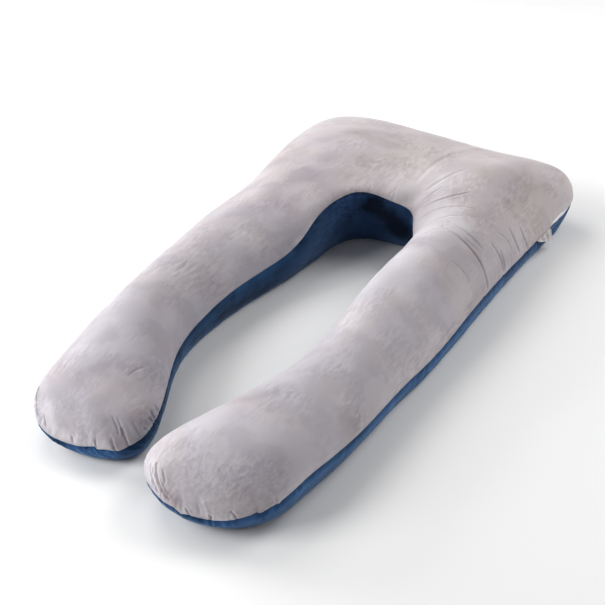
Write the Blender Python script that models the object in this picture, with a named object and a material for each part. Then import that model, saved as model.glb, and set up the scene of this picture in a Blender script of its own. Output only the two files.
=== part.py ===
"""U-shaped body pillow, lying on its back with its two arms towards -Y.

Two shaped velvet panels, a navy one below and a grey one above, are sewn together round
their edge and stuffed. The edge seam is two rails: an outer one and an inner one, which
meet at the end of each arm. Rungs laid across the rails are the pillow's cross-sections,
and a row of the table below gives each main one. Lengths are in metres, +Z is up.
"""
import math
from collections import namedtuple

import bmesh
import bpy
import numpy as np
from mathutils import Matrix

MM = 0.001

# ---- Cloth and seam ---------------------------------------------------------------------
PANEL_THICKNESS = 2.0 * MM    # grey velvet with its pile
FIT_GAP = 0.45 * MM           # air between two pieces that touch on the real pillow
EDGE_GAP = 0.7 * MM           # air between the grey panel's edge and the navy one's
SEAM_DRAW = 3.0 * MM          # the edge seam pulls this far into the pillow's side

# ---- Roundness of the stuffed cross-section ---------------------------------------------
CROWN_POWER = 2.15            # 2 is an ellipse, more is squarer
BASE_POWER = 1.85
SHARP_EDGE = math.radians(50) # smooth shading stops at edges that turn more than this
BASE_PRESS = 1.8              # sag of an unsupported base over its height; the floor stops it
FLOOR_ROUNDING = 9.0 * MM     # the base starts to turn level this far above the floor
TOUCH_DOWN_HALVINGS = 20      # of the arc in which the place where it lies flat is looked for
TIP_ROWS = 2.2                # the arm's end swells to full height over this many rows
TOP_ANGLES = (0, 7, 22, 38, 55, 72, 90, 108, 125, 142, 158, 173, 180)
SIDE_SHARES = (0, 0.12, 0.32, 0.56, 0.80, 1)   # columns from the seam down to the flat base

# ---- Cross-sections, from the left arm's end round the head to the right arm's end --------
# inner and outer: a seam point on each rail. crown: top of the section between them.
# rungs: cross-sections from this row up to the next.
Section = namedtuple("Section", "name inner_x inner_y inner_z outer_x outer_y outer_z crown rungs")
Tip = namedtuple("Tip", "x y z crown rungs")

LEFT_TIP = Tip(-0.225, 0.035, 0.045, 0.120, 8)
SECTIONS = (
    Section("left end",        -0.070, 0.065, 0.055, -0.310, 0.085, 0.065, 0.125, 6),
    Section("left swell",      -0.045, 0.155, 0.075, -0.325, 0.155, 0.085, 0.140, 5),
    Section("left forearm",    -0.100, 0.270, 0.075, -0.340, 0.295, 0.090, 0.165, 4),
    Section("left hollow",     -0.165, 0.430, 0.070, -0.355, 0.465, 0.085, 0.175, 4),
    Section("left middle",     -0.160, 0.640, 0.085, -0.370, 0.630, 0.095, 0.175, 4),
    Section("left waist",      -0.120, 0.805, 0.105, -0.385, 0.840, 0.095, 0.180, 4),
    Section("left shoulder",   -0.095, 0.895, 0.165, -0.395, 1.075, 0.105, 0.195, 8),
    Section("left corner",     -0.055, 1.005, 0.185, -0.375, 1.470, 0.115, 0.205, 8),
    Section("head",             0.020, 1.045, 0.165,  0.040, 1.485, 0.115, 0.195, 8),
    Section("right corner",     0.075, 1.065, 0.135,  0.345, 1.440, 0.100, 0.210, 10),
    Section("zip",              0.105, 1.020, 0.115,  0.370, 1.315, 0.055, 0.195, 14),
    Section("right shoulder",   0.135, 0.945, 0.105,  0.355, 1.080, 0.055, 0.185, 12),
    Section("right waist",      0.145, 0.805, 0.115,  0.350, 0.835, 0.060, 0.185, 5),
    Section("right middle",     0.140, 0.650, 0.110,  0.345, 0.660, 0.050, 0.165, 4),
    Section("right hollow",     0.135, 0.455, 0.080,  0.335, 0.495, 0.055, 0.155, 4),
    Section("right forearm",    0.095, 0.300, 0.075,  0.330, 0.305, 0.065, 0.150, 5),
    Section("right swell",      0.040, 0.150, 0.080,  0.315, 0.150, 0.080, 0.155, 6),
    Section("right end",        0.025, 0.030, 0.075,  0.285, 0.050, 0.070, 0.150, 10),
)
RIGHT_TIP = Tip(0.160, -0.020, 0.060, 0.160, 0)

# ---- Main creases of the grey panel, drawn on the plan ------------------------------------
# Each is a soft trough from start to end, or a ridge where its depth is below 0. bow: how far
# its middle swings to the left of the way from start to end. width: from its middle to its
# shoulder.
Crease = namedtuple("Crease", "name start_x start_y end_x end_y bow width depth")
CREASES = (
    Crease("shoulder, long",    0.221, 0.941, 0.342, 0.910, 0.010, 0.010, 0.0070),
    Crease("shoulder, short",   0.224, 0.966, 0.315, 0.948, 0.000, 0.010, 0.0065),
    Crease("side, front",       0.316, 0.988, 0.350, 1.008, -0.002, 0.010, 0.0060),
    Crease("side, middle",      0.328, 1.086, 0.354, 1.078, 0.001, 0.010, 0.0050),
    Crease("side, back",        0.332, 1.127, 0.360, 1.129, 0.001, 0.010, 0.0050),
    Crease("inner, lowest",     0.135, 1.002, 0.198, 1.066, -0.012, 0.012, 0.0045),
    Crease("inner, low",        0.128, 1.036, 0.214, 1.116, -0.006, 0.011, 0.0060),
    Crease("inner, high",       0.120, 1.072, 0.182, 1.222, -0.006, 0.012, 0.0065),
    Crease("head ridge",        0.072, 1.142, 0.112, 1.320, -0.022, 0.016, -0.0030),
    Crease("left end, first",  -0.112, 0.066, -0.090, 0.058, 0.001, 0.008, 0.0040),
    Crease("left end, second", -0.112, 0.088, -0.076, 0.063, 0.002, 0.008, 0.0050),
    Crease("left end, third",  -0.092, 0.088, -0.062, 0.076, 0.001, 0.008, 0.0045),
    Crease("right end, first",  0.080, 0.025, 0.104, 0.000, 0.001, 0.008, 0.0050),
    Crease("right end, second", 0.063, 0.026, 0.112, -0.012, -0.005, 0.008, 0.0060),
    Crease("right end, third",  0.054, 0.024, 0.088, -0.008, -0.002, 0.008, 0.0050),
)
CREASE_STEPS = 24             # points that trace one crease
CREASE_FADE = (0.12, 0.88)    # a crease's ends keep this share of a half wave of its depth

# ---- Zip at the right corner: the panels part over it and its tape shows ------------------
ZIP_START = 9.50              # rail position, in rows: 9 is the right corner, 10 the zip's middle
ZIP_END = 10.14
ZIP_PARTING = 7.5 * MM        # the grey edge stands this far off the navy one at the middle
TAPE_THICKNESS = 1.4 * MM
TAPE_MARGIN = 0.5 * MM        # air above and below the tape
TAPE_LEAST = 2.5 * MM         # the tape stops where the panels part less than this

# ---- Cloth tab sewn into the seam in front of the zip --------------------------------------
TAB_START = 10.14
TAB_END = 10.47
TAB_THICKNESS = 1.2 * MM
TAB_LONG_SIDE = 48.0 * MM     # from the seam to the free corner
TAB_SHORT_SIDE = 12.0 * MM
TAB_ROOT = 0.9 * MM           # air between the seam and the middle of the tab's root
TAB_BEND = 12.0 * MM          # it turns down over this length
TAB_LEAN = math.radians(68)   # below level, once it has turned down
TAB_FOLDS = 2
TAB_FOLD_HEIGHT = 3.0 * MM
TAB_FOLDS_OPEN = 18.0 * MM    # the folds reach their full height this far from the seam
TAB_COLUMNS = 14
TAB_ROWS = 7
TAB_STEPS = 40                # strides in which a length of the tab is followed


def start_with_an_empty_scene():
    for leftover in list(bpy.data.objects):
        bpy.data.objects.remove(leftover, do_unlink=True)


# ---- The two rails and the sections across them ---------------------------------------------

def closed_curve(knots, at):
    """Points on a smooth closed curve through the knots, at the given knot numbers."""
    count = len(knots)
    own = np.eye(count)
    system = 4 * own + np.roll(own, 1, axis=0) + np.roll(own, -1, axis=0)
    turn = 6 * (np.roll(knots, 1, axis=0) - 2 * knots + np.roll(knots, -1, axis=0))
    bend = np.linalg.solve(system, turn)
    whole = np.floor(at)
    start = whole.astype(int) % count
    end = (start + 1) % count
    far = (at - whole)[:, None]
    near = 1 - far
    straight = near * knots[start] + far * knots[end]
    return straight + ((near**3 - near) * bend[start] + (far**3 - far) * bend[end]) / 6


def rail_knots():
    """x, y, seam height and crown height, round the edge: left tip, outer, right tip, inner."""
    outer = [(s.outer_x, s.outer_y, s.outer_z, s.crown) for s in SECTIONS]
    inner = [(s.inner_x, s.inner_y, s.inner_z, s.crown) for s in SECTIONS]
    return np.array([LEFT_TIP[:4]] + outer + [RIGHT_TIP[:4]] + inner[::-1])


def outer_rail(spots):
    return closed_curve(rail_knots(), np.asarray(spots) + 1)


def inner_rail(spots):
    knots = rail_knots()
    return closed_curve(knots, len(knots) - (np.asarray(spots) + 1))


def rung_spots():
    """Where the rungs lie, in rows: -1 is the left tip and len(SECTIONS) the right one."""
    spots = []
    for row, section in enumerate((LEFT_TIP,) + SECTIONS):
        spots += [row - 1 + step / section.rungs for step in range(section.rungs)]
    return np.array(spots + [len(SECTIONS)])


def tip_swell(spots):
    """Share of its full height that each rung has: none at a tip, all along the arms."""
    rows_from_tip = np.minimum(spots + 1, len(SECTIONS) - spots)
    return np.sin(np.pi / 2 * np.clip(rows_from_tip / TIP_ROWS, 0, 1))


def section_frame(spots):
    """Middle and half width of each rung, its swell, and its crown above the middle."""
    inner, outer = inner_rail(spots), outer_rail(spots)
    middle, half = (inner + outer) / 2, (outer - inner) / 2
    swell = tip_swell(spots)
    return middle[:, None, :3], half[:, None, :3], swell[:, None], middle[:, 3, None]


def top_points(spots):
    """Points across the pillow's top, from the outer rail to the inner one."""
    middle, half, swell, crown = section_frame(spots)
    across, rise = rounded_profile(np.radians(TOP_ANGLES)[None, :], CROWN_POWER)
    points = middle + half * across[:, :, None]
    points[:, :, 2] += (crown - middle[:, :, 2]) * swell * rise
    return points


def base_points(spots, turn):
    """Points across the base at the given angles, as it would hang with no floor below."""
    middle, half, swell, _ = section_frame(spots)
    across, rise = rounded_profile(turn, BASE_POWER)
    points = middle + half * across[:, :, None]
    points[:, :, 2] -= BASE_PRESS * middle[:, :, 2] * swell * rise
    return points


def rounded_profile(turn, power):
    """Share of the half width and of the full height at each angle of a section."""
    level, upright = np.cos(turn), np.abs(np.sin(turn))
    return np.sign(level) * np.abs(level) ** (2 / power), upright ** (2 / power)


def touch_down(spots, seam_angle):
    """Angle at which each rung's base lies down flat, looking from one of its seams."""
    lifted = np.full((len(spots), 1), seam_angle)
    level = np.full((len(spots), 1), math.pi / 2)
    for _ in range(TOUCH_DOWN_HALVINGS):
        between = (lifted + level) / 2
        clear = base_points(spots, between)[:, :, 2] > -FLOOR_ROUNDING
        lifted = np.where(clear, between, lifted)
        level = np.where(clear, level, between)
    return level


def resting_base(spots):
    """Points across the base as it rests: rounded over where it meets the floor, then flat."""
    shares = np.array(SIDE_SHARES)
    from_outer = touch_down(spots, 0.0) * shares
    inner_touch = touch_down(spots, math.pi)
    from_inner = math.pi + (inner_touch - math.pi) * shares[::-1]
    middle = (from_outer[:, -1:] + from_inner[:, :1]) / 2
    points = base_points(spots, np.hstack((from_outer, middle, from_inner)))
    heights = points[:, :, 2]
    turning = np.clip(heights + FLOOR_ROUNDING, 0, 2 * FLOOR_ROUNDING) ** 2 / (4 * FLOOR_ROUNDING)
    points[:, :, 2] = np.where(heights > FLOOR_ROUNDING, heights, turning)
    return points


# ---- Index grids: one row of vertex numbers for each rung -----------------------------------

def ladder_grids(rung_count):
    """Vertex numbers of the top and the base, which share the seam and one point a tip."""
    top_columns, base_columns = len(TOP_ANGLES), 2 * len(SIDE_SHARES) + 1
    top = np.zeros((rung_count, top_columns), int)
    base = np.zeros((rung_count, base_columns), int)
    top[-1] = base[-1] = 1
    following = 2
    for rung in range(1, rung_count - 1):
        top[rung] = following + np.arange(top_columns)
        following += top_columns
        base[rung, 0], base[rung, -1] = top[rung, 0], top[rung, -1]
        base[rung, 1:-1] = following + np.arange(base_columns - 2)
        following += base_columns - 2
    return top, base, following


def ladder_faces(grid):
    """Triangles between neighbouring rungs, all split the same way so that layers stay apart."""
    faces = []
    for rung, after in zip(grid[:-1], grid[1:]):
        for column in range(len(rung) - 1):
            far_corner = after[column + 1]
            faces.append((rung[column], after[column], far_corner))
            faces.append((rung[column], far_corner, rung[column + 1]))
    return [tuple(int(n) for n in face) for face in faces if len(set(face)) == 3]


def seam_loop(grid):
    """Vertex numbers round the edge: along the outer rail, then back along the inner one."""
    return [int(n) for n in grid[:, 0]] + [int(n) for n in grid[-2:0:-1, -1]]


def band_faces(loop_a, loop_b):
    """Faces between two loops with the same number of points."""
    pairs = zip(loop_a, loop_a[1:] + loop_a[:1], loop_b[1:] + loop_b[:1], loop_b)
    return [tuple(corners) for corners in pairs]


def outward(points, faces):
    """Unit normals of a surface's points, and how much more a corner has to move."""
    surface = bmesh.new()
    verts = [surface.verts.new(point) for point in points]
    for face in faces:
        surface.faces.new([verts[n] for n in face])
    bmesh.ops.recalc_face_normals(surface, faces=surface.faces)
    surface.normal_update()
    normals = np.array([vert.normal[:] for vert in verts])
    factors = np.array([vert.calc_shell_factor() if vert.link_faces else 1 for vert in verts])
    surface.free()
    return normals, factors


# ---- Creases ----------------------------------------------------------------------------------

def crease_path(crease, surface):
    """Points along one crease, on the surface under its plan."""
    start = np.array((crease.start_x, crease.start_y))
    way = np.array((crease.end_x, crease.end_y)) - start
    left = np.array((-way[1], way[0])) / np.linalg.norm(way)
    along = np.linspace(0, 1, CREASE_STEPS)[:, None]
    plan = start + way * along + left * crease.bow * 4 * along * (1 - along)
    apart = np.linalg.norm(surface[None, :, :2] - plan[:, None, :], axis=2)
    heights = surface[np.argmin(apart, axis=1), 2]
    return np.column_stack((plan, heights))


def crease_depths(surface):
    """How far the creases press each point in: in full amidships, fading to both ends."""
    depths = np.zeros(len(surface))
    fade = np.sqrt(np.sin(np.linspace(*CREASE_FADE, CREASE_STEPS) * np.pi))
    for crease in CREASES:
        path = crease_path(crease, surface)
        apart = np.linalg.norm(surface[:, None, :] - path[None, :, :], axis=2)
        nearest = np.argmin(apart, axis=1)
        distance = apart[np.arange(len(surface)), nearest]
        trough = np.exp(-(distance / crease.width) ** 2)
        press = crease.depth * fade[nearest] * trough
        depths = np.where(np.abs(press) > np.abs(depths), press, depths)
    return depths


# ---- Pieces ------------------------------------------------------------------------------------

def cloth_material(name, colour, roughness):
    material = bpy.data.materials.new(name)
    material.use_nodes = True
    shader = material.node_tree.nodes["Principled BSDF"]
    shader.inputs["Base Color"].default_value = (*colour, 1)
    shader.inputs["Roughness"].default_value = roughness
    shader.inputs["Metallic"].default_value = 0
    return material


def make_piece(name, points, faces, material):
    """One closed body, smooth but for its edges."""
    shape = bmesh.new()
    verts = [shape.verts.new(point) for point in points]
    for face in faces:
        shape.faces.new([verts[n] for n in face])
    bmesh.ops.delete(shape, geom=[v for v in verts if not v.link_faces], context="VERTS")
    bmesh.ops.recalc_face_normals(shape, faces=shape.faces)
    mesh = bpy.data.meshes.new(name)
    shape.to_mesh(mesh)
    shape.free()
    mesh.shade_smooth()
    mesh.set_sharp_from_angle(angle=SHARP_EDGE)
    mesh.materials.append(material)
    piece = bpy.data.objects.new(name, mesh)
    bpy.context.scene.collection.objects.link(piece)
    return piece


def pillow_surface(spots):
    """The sewn and stuffed outside: its points, and the vertex grids of its top and base."""
    top, base, count = ladder_grids(len(spots))
    points = np.zeros((count, 3))
    points[base] = resting_base(spots)
    points[top] = top_points(spots)
    normals, _ = outward(points, ladder_faces(top) + ladder_faces(base))
    open_top = np.unique(top[1:-1, 1:-1])
    points[open_top] -= normals[open_top] * crease_depths(points[open_top])[:, None]
    draw = SEAM_DRAW * tip_swell(spots)[:, None]
    for seam in (top[:, 0], top[:, -1]):
        points[seam] -= normals[seam] * draw
    return points, top, base


def zip_parting(spots):
    """How far the panels part at each rung of the outer rail."""
    along = np.clip((spots - ZIP_START) / (ZIP_END - ZIP_START), 0, 1)
    return ZIP_PARTING * np.sin(np.pi * along)


def lift_panel_edge(points, top, spots):
    """The grey panel's edge: a little above the navy one, and parted from it at the zip."""
    middle = top.shape[1] // 2
    edge = np.concatenate((top[1:-1, 0], top[1:-1, -1], top[[0, -1], 0]))
    second = np.concatenate((top[1:-1, 1], top[1:-1, -2], top[[1, -2], middle]))
    lift = np.full(len(edge), EDGE_GAP)
    lift[:len(spots) - 2] += zip_parting(spots[1:-1])
    climb = points[second] - points[edge]
    climb /= np.linalg.norm(climb, axis=1)[:, None]
    lifted = points.copy()
    lifted[edge] += climb * lift[:, None]
    return lifted


def make_filled_body(points, recessed, top, base, material):
    """Navy panel and filling: full size below the seam, a panel's thickness less above it."""
    top_of_body = top + len(points)
    ledge = band_faces(seam_loop(top), seam_loop(top_of_body))
    faces = ladder_faces(base) + ladder_faces(top_of_body) + ledge
    return make_piece("filled_body", np.vstack((points, recessed)), faces, material)


def make_top_panel(points, inward, top, spots, material):
    """Grey panel: one sheet over the whole top, from seam to seam."""
    outside = lift_panel_edge(points, top, spots)
    inside = outside + inward * PANEL_THICKNESS
    underside = top + len(points)
    rim = band_faces(seam_loop(top), seam_loop(underside))
    faces = ladder_faces(top) + ladder_faces(underside) + rim
    return make_piece("top_panel", np.vstack((outside, inside)), faces, material)


def make_zip_tape(recessed, points, top, spots, material):
    """Edge of the zip's tape, in the gap where the two panels part."""
    parting = zip_parting(spots)
    section = []
    for rung in np.nonzero(parting > TAPE_LEAST)[0]:
        foot = recessed[top[rung, 0]]
        climb = recessed[top[rung, 1]] - foot
        climb /= np.linalg.norm(climb)
        face_out = points[top[rung, 0]] - foot
        face_out /= np.linalg.norm(face_out)
        low = foot + climb * TAPE_MARGIN
        high = foot + climb * (parting[rung] - TAPE_MARGIN)
        back, front = face_out * FIT_GAP, face_out * (FIT_GAP + TAPE_THICKNESS)
        section.append((low + back, low + front, high + front, high + back))
    grid = np.arange(len(section) * 4).reshape(-1, 4)
    around = np.column_stack((grid, grid[:, 0]))
    ends = [tuple(int(n) for n in grid[0]), tuple(int(n) for n in grid[-1])]
    return make_piece("zip_tape", np.reshape(section, (-1, 3)), ladder_faces(around) + ends, material)


def tab_drop(length):
    """How far out and how far down a strip is after this length: it leaves level, then turns."""
    walked = np.arange(TAB_STEPS) / TAB_STEPS * length
    slope = TAB_LEAN * np.clip(walked / TAB_BEND, 0, 1)
    return np.mean(np.cos(slope)) * length, np.mean(np.sin(slope)) * length


def make_tab(material):
    """Cloth tab: a tapered flap that hangs from the seam over the navy side, in soft folds."""
    columns = np.linspace(TAB_END, TAB_START, TAB_COLUMNS)
    seam = outer_rail(columns)[:, :3]
    along = np.gradient(seam, axis=0)
    away = np.column_stack((-along[:, 1], along[:, 0], np.zeros(TAB_COLUMNS)))
    away /= np.linalg.norm(away, axis=1)[:, None]
    away *= np.sign(away[:, :1])
    points = []
    for column, (root, out) in enumerate(zip(seam, away)):
        share = column / (TAB_COLUMNS - 1)
        side = TAB_SHORT_SIDE + (TAB_LONG_SIDE - TAB_SHORT_SIDE) * share
        ripple = TAB_FOLD_HEIGHT * math.sin(2 * math.pi * TAB_FOLDS * share)
        for row in range(TAB_ROWS):
            length = side * row / (TAB_ROWS - 1)
            reach, drop = tab_drop(length)
            reach += TAB_ROOT - SEAM_DRAW + ripple * min(1, length / TAB_FOLDS_OPEN)
            points.append(root + out * reach - np.array((0, 0, drop)))
    points = np.array(points)
    grid = np.arange(TAB_COLUMNS * TAB_ROWS).reshape(TAB_COLUMNS, TAB_ROWS)
    faces = ladder_faces(grid)
    normals, factors = outward(points, faces)
    half = normals * (factors * TAB_THICKNESS / 2)[:, None]
    back = grid + grid.size
    edge = [*grid[:, 0], *grid[-1, 1:], *grid[-2::-1, -1], *grid[0, -2:0:-1]]
    front_edge = [int(n) for n in edge]
    back_edge = [n + grid.size for n in front_edge]
    faces = faces + ladder_faces(back) + band_faces(front_edge, back_edge)
    return make_piece("seam_tab", np.vstack((points + half, points - half)), faces, material)


def centre_on_origin(pieces):
    """Move all the pieces so that the middle of their plan is at the origin."""
    corners = np.array([corner for piece in pieces for corner in piece.bound_box])
    middle = (corners.min(axis=0) + corners.max(axis=0)) / 2
    for piece in pieces:
        piece.data.transform(Matrix.Translation((-middle[0], -middle[1], 0)))


def build():
    start_with_an_empty_scene()
    navy = cloth_material("navy_velvet", (0.030, 0.052, 0.110), 0.85)
    grey = cloth_material("grey_velvet", (0.470, 0.435, 0.455), 0.80)
    white = cloth_material("white_zip_tape", (0.800, 0.800, 0.820), 0.60)
    pale = cloth_material("pale_tab_cloth", (0.540, 0.520, 0.490), 0.75)

    spots = rung_spots()
    points, top, base = pillow_surface(spots)
    normals, factors = outward(points, ladder_faces(top))
    inward = -normals * factors[:, None]
    recessed = points + inward * (PANEL_THICKNESS + FIT_GAP)

    centre_on_origin((
        make_filled_body(points, recessed, top, base, navy),
        make_top_panel(points, inward, top, spots, grey),
        make_zip_tape(recessed, points, top, spots, white),
        make_tab(pale),
    ))


build()
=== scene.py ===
import math
from collections import namedtuple

import bmesh
import bpy
import numpy as np
from mathutils import Matrix, Vector, noise
from mathutils.kdtree import KDTree


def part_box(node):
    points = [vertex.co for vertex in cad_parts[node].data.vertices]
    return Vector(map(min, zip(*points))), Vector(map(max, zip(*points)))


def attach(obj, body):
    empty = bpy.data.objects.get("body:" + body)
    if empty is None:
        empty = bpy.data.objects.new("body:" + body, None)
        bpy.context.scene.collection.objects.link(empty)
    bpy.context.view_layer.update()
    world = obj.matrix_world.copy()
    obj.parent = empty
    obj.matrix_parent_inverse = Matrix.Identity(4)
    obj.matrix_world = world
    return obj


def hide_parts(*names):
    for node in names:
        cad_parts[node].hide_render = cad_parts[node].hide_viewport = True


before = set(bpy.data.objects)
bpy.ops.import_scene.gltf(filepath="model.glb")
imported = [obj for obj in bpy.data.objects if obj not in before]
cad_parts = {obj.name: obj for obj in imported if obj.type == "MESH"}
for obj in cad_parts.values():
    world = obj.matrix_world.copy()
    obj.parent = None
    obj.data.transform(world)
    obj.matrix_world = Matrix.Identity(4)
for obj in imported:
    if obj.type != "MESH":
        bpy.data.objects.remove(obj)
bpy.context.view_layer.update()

MM = 0.001
TINY = 1e-12                  # a length that is less counts as this, so that it can be divided by


def table(columns, rows):
    """The rows of a table, whose values are then read by their columns' names."""
    kind = namedtuple("Row", columns)
    return [kind(*row) for row in rows]


# ---- The pillow's form, as its parts have it -----------------------------------------------------
# Two rails, the outer and the inner seam, run from the left arm's end round the head to the
# right arm's end. inner and outer: a seam point on each rail. crown: top of the section
# between them. step: distance between rungs, in millimetres, from this row up to the next.
LEFT_TIP = (-0.225, 0.035, 0.045, 0.120)      # x, y, z and crown
LEFT_TIP_STEP = 3.0
SECTIONS = table("inner_x inner_y inner_z outer_x outer_y outer_z crown step name", (
    (-0.070, 0.065, 0.055, -0.310, 0.085, 0.065, 0.125, 3.6, "left end"),
    (-0.045, 0.155, 0.075, -0.325, 0.155, 0.085, 0.140, 5.0, "left swell"),
    (-0.100, 0.270, 0.075, -0.340, 0.295, 0.090, 0.165, 7.5, "left forearm"),
    (-0.165, 0.430, 0.070, -0.355, 0.465, 0.085, 0.175, 8.0, "left hollow"),
    (-0.160, 0.640, 0.085, -0.370, 0.630, 0.095, 0.175, 8.0, "left middle"),
    (-0.120, 0.805, 0.105, -0.385, 0.840, 0.095, 0.180, 8.0, "left waist"),
    (-0.095, 0.895, 0.165, -0.395, 1.075, 0.105, 0.195, 7.5, "left shoulder"),
    (-0.055, 1.005, 0.185, -0.375, 1.470, 0.115, 0.205, 6.5, "left corner"),
    ( 0.020, 1.045, 0.165,  0.040, 1.485, 0.115, 0.195, 6.5, "head"),
    ( 0.075, 1.065, 0.135,  0.345, 1.440, 0.100, 0.210, 4.5, "right corner"),
    ( 0.105, 1.020, 0.115,  0.370, 1.315, 0.055, 0.195, 4.2, "zip"),
    ( 0.135, 0.945, 0.105,  0.355, 1.080, 0.055, 0.185, 4.5, "right shoulder"),
    ( 0.145, 0.805, 0.115,  0.350, 0.835, 0.060, 0.185, 6.5, "right waist"),
    ( 0.140, 0.650, 0.110,  0.345, 0.660, 0.050, 0.165, 8.0, "right middle"),
    ( 0.135, 0.455, 0.080,  0.335, 0.495, 0.055, 0.155, 7.5, "right hollow"),
    ( 0.095, 0.300, 0.075,  0.330, 0.305, 0.065, 0.150, 6.5, "right forearm"),
    ( 0.040, 0.150, 0.080,  0.315, 0.150, 0.080, 0.155, 4.5, "right swell"),
    ( 0.025, 0.030, 0.075,  0.285, 0.050, 0.070, 0.150, 3.0, "right end"),
))
RIGHT_TIP = (0.160, -0.020, 0.060, 0.160)

CROWN_POWER = 2.15            # 2 is an ellipse, more is squarer
BASE_POWER = 1.85
BASE_PRESS = 1.8              # sag of an unsupported base over its height; the floor stops it
FLOOR_ROUNDING = 9.0 * MM     # the base starts to turn level this far above the floor
TOUCH_DOWN_HALVINGS = 20      # of the arc in which the place where it lies flat is looked for
TIP_ROWS = 2.2                # the arm's end swells to full height over this many rows
TOP_COLUMNS = 80              # across the grey panel
SIDE_COLUMNS = 24             # of the navy panel, from a seam to the flat base
FLAT_COLUMNS = 8              # of the navy panel, where it lies flat
RAIL_SAMPLES = 6001           # along both rails, to space the rungs by


def bell(away, reach):
    """1 in the middle, fading softly over the reach."""
    return np.exp(-((away / reach) ** 2))


def ramp(value, start, end):
    """0 up to start, 1 from end on, and even between them."""
    return np.clip((value - start) / (end - start), 0, 1)


def closed_curve(knots, at):
    """Points on a smooth closed curve through the knots, at the given knot numbers."""
    count = len(knots)
    own = np.eye(count)
    system = 4 * own + np.roll(own, 1, axis=0) + np.roll(own, -1, axis=0)
    turn = 6 * (np.roll(knots, 1, axis=0) - 2 * knots + np.roll(knots, -1, axis=0))
    bend = np.linalg.solve(system, turn)
    whole = np.floor(at)
    start = whole.astype(int) % count
    end = (start + 1) % count
    far = (at - whole)[:, None]
    near = 1 - far
    straight = near * knots[start] + far * knots[end]
    return straight + ((near**3 - near) * bend[start] + (far**3 - far) * bend[end]) / 6


def rail_knots():
    """x, y, seam height and crown height, round the edge: left tip, outer, right tip, inner."""
    outer = [(s.outer_x, s.outer_y, s.outer_z, s.crown) for s in SECTIONS]
    inner = [(s.inner_x, s.inner_y, s.inner_z, s.crown) for s in SECTIONS]
    return np.array([LEFT_TIP] + outer + [RIGHT_TIP] + inner[::-1])


def outer_rail(spots):
    return closed_curve(rail_knots(), np.asarray(spots) + 1)


def inner_rail(spots):
    knots = rail_knots()
    return closed_curve(knots, len(knots) - (np.asarray(spots) + 1))


def rung_spots():
    """Where the rungs lie, in rows: -1 is the left tip and len(SECTIONS) the right one."""
    fine = np.linspace(-1, len(SECTIONS), RAIL_SAMPLES)
    rails = np.stack((outer_rail(fine), inner_rail(fine)))[:, :, :3]
    stride = np.linalg.norm(np.diff(rails, axis=1), axis=2).max(axis=0)
    steps = np.array([LEFT_TIP_STEP] + [section.step for section in SECTIONS]) * MM
    middle = (fine[:-1] + fine[1:]) / 2 + 1
    wanted = np.interp(middle, np.arange(len(steps)) + 0.5, steps)
    count = np.concatenate(([0], np.cumsum(stride / wanted)))
    rungs = UNDERSIDE_STEP * round(count[-1] / UNDERSIDE_STEP) + 1
    return np.interp(np.linspace(0, count[-1], rungs), count, fine)


def tip_swell(spots):
    """Share of its full height that each rung has: none at a tip, all along the arms."""
    rows_from_tip = np.minimum(spots + 1, len(SECTIONS) - spots)
    return np.sin(np.pi / 2 * np.clip(rows_from_tip / TIP_ROWS, 0, 1))


def section_frame(spots):
    """Middle and half width of each rung, its swell, and its crown's height."""
    inner, outer = inner_rail(spots), outer_rail(spots)
    middle, half = (inner + outer) / 2, (outer - inner) / 2
    swell = tip_swell(spots)
    return middle[:, None, :3], half[:, None, :3], swell[:, None], middle[:, 3, None]


def rounded_profile(turn, power):
    """Share of the half width and of the full height at each angle of a section."""
    level, upright = np.cos(turn), np.abs(np.sin(turn))
    return np.sign(level) * np.abs(level) ** (2 / power), upright ** (2 / power)


def top_points(spots):
    """Points across the grey panel, from the outer rail to the inner one."""
    middle, half, swell, crown = section_frame(spots)
    across, rise = rounded_profile(np.linspace(0, np.pi, TOP_COLUMNS + 1)[None, :], CROWN_POWER)
    points = middle + half * across[:, :, None]
    points[:, :, 2] += (crown - middle[:, :, 2]) * swell * rise
    return points


def base_points(spots, turn):
    """Points across the navy panel at the given angles, as it would hang with no floor."""
    middle, half, swell, _ = section_frame(spots)
    across, rise = rounded_profile(turn, BASE_POWER)
    points = middle + half * across[:, :, None]
    points[:, :, 2] -= BASE_PRESS * middle[:, :, 2] * swell * rise
    return points


def touch_down(spots, seam_angle):
    """Angle at which each rung's base lies down flat, looking from one of its seams."""
    lifted = np.full((len(spots), 1), seam_angle)
    level = np.full((len(spots), 1), math.pi / 2)
    for _ in range(TOUCH_DOWN_HALVINGS):
        between = (lifted + level) / 2
        clear = base_points(spots, between)[:, :, 2] > -FLOOR_ROUNDING
        lifted = np.where(clear, between, lifted)
        level = np.where(clear, level, between)
    return level


def resting_base(spots):
    """Points across the navy panel as it rests: rounded over where it meets the floor."""
    shares = np.linspace(0, 1, SIDE_COLUMNS + 1)[None, :]
    outer_turn = touch_down(spots, 0.0) * shares
    inner_turn = np.pi + (touch_down(spots, math.pi) - np.pi) * shares[:, ::-1]
    flat_shares = np.linspace(0, 1, FLAT_COLUMNS + 1)[None, 1:-1]
    flat_turn = outer_turn[:, -1:] + (inner_turn[:, :1] - outer_turn[:, -1:]) * flat_shares
    points = base_points(spots, np.hstack((outer_turn, flat_turn, inner_turn)))
    heights = points[:, :, 2]
    turning = np.clip(heights + FLOOR_ROUNDING, 0, 2 * FLOOR_ROUNDING) ** 2 / (4 * FLOOR_ROUNDING)
    points[:, :, 2] = np.where(heights > FLOOR_ROUNDING, heights, turning)
    return points


# ---- The sewn outside as one closed skin of numbered points --------------------------------------
SEAM_MARKS = 5                # between two rungs of the seam, to measure along it
FIRST_PATH_STEPS = 8          # that a path is tried with, before its length is known


def nearest_finder(points):
    """A tree that finds which of the points lies nearest to a place."""
    tree = KDTree(len(points))
    for number, point in enumerate(points):
        tree.insert(point, number)
    tree.balance()
    return tree


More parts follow.
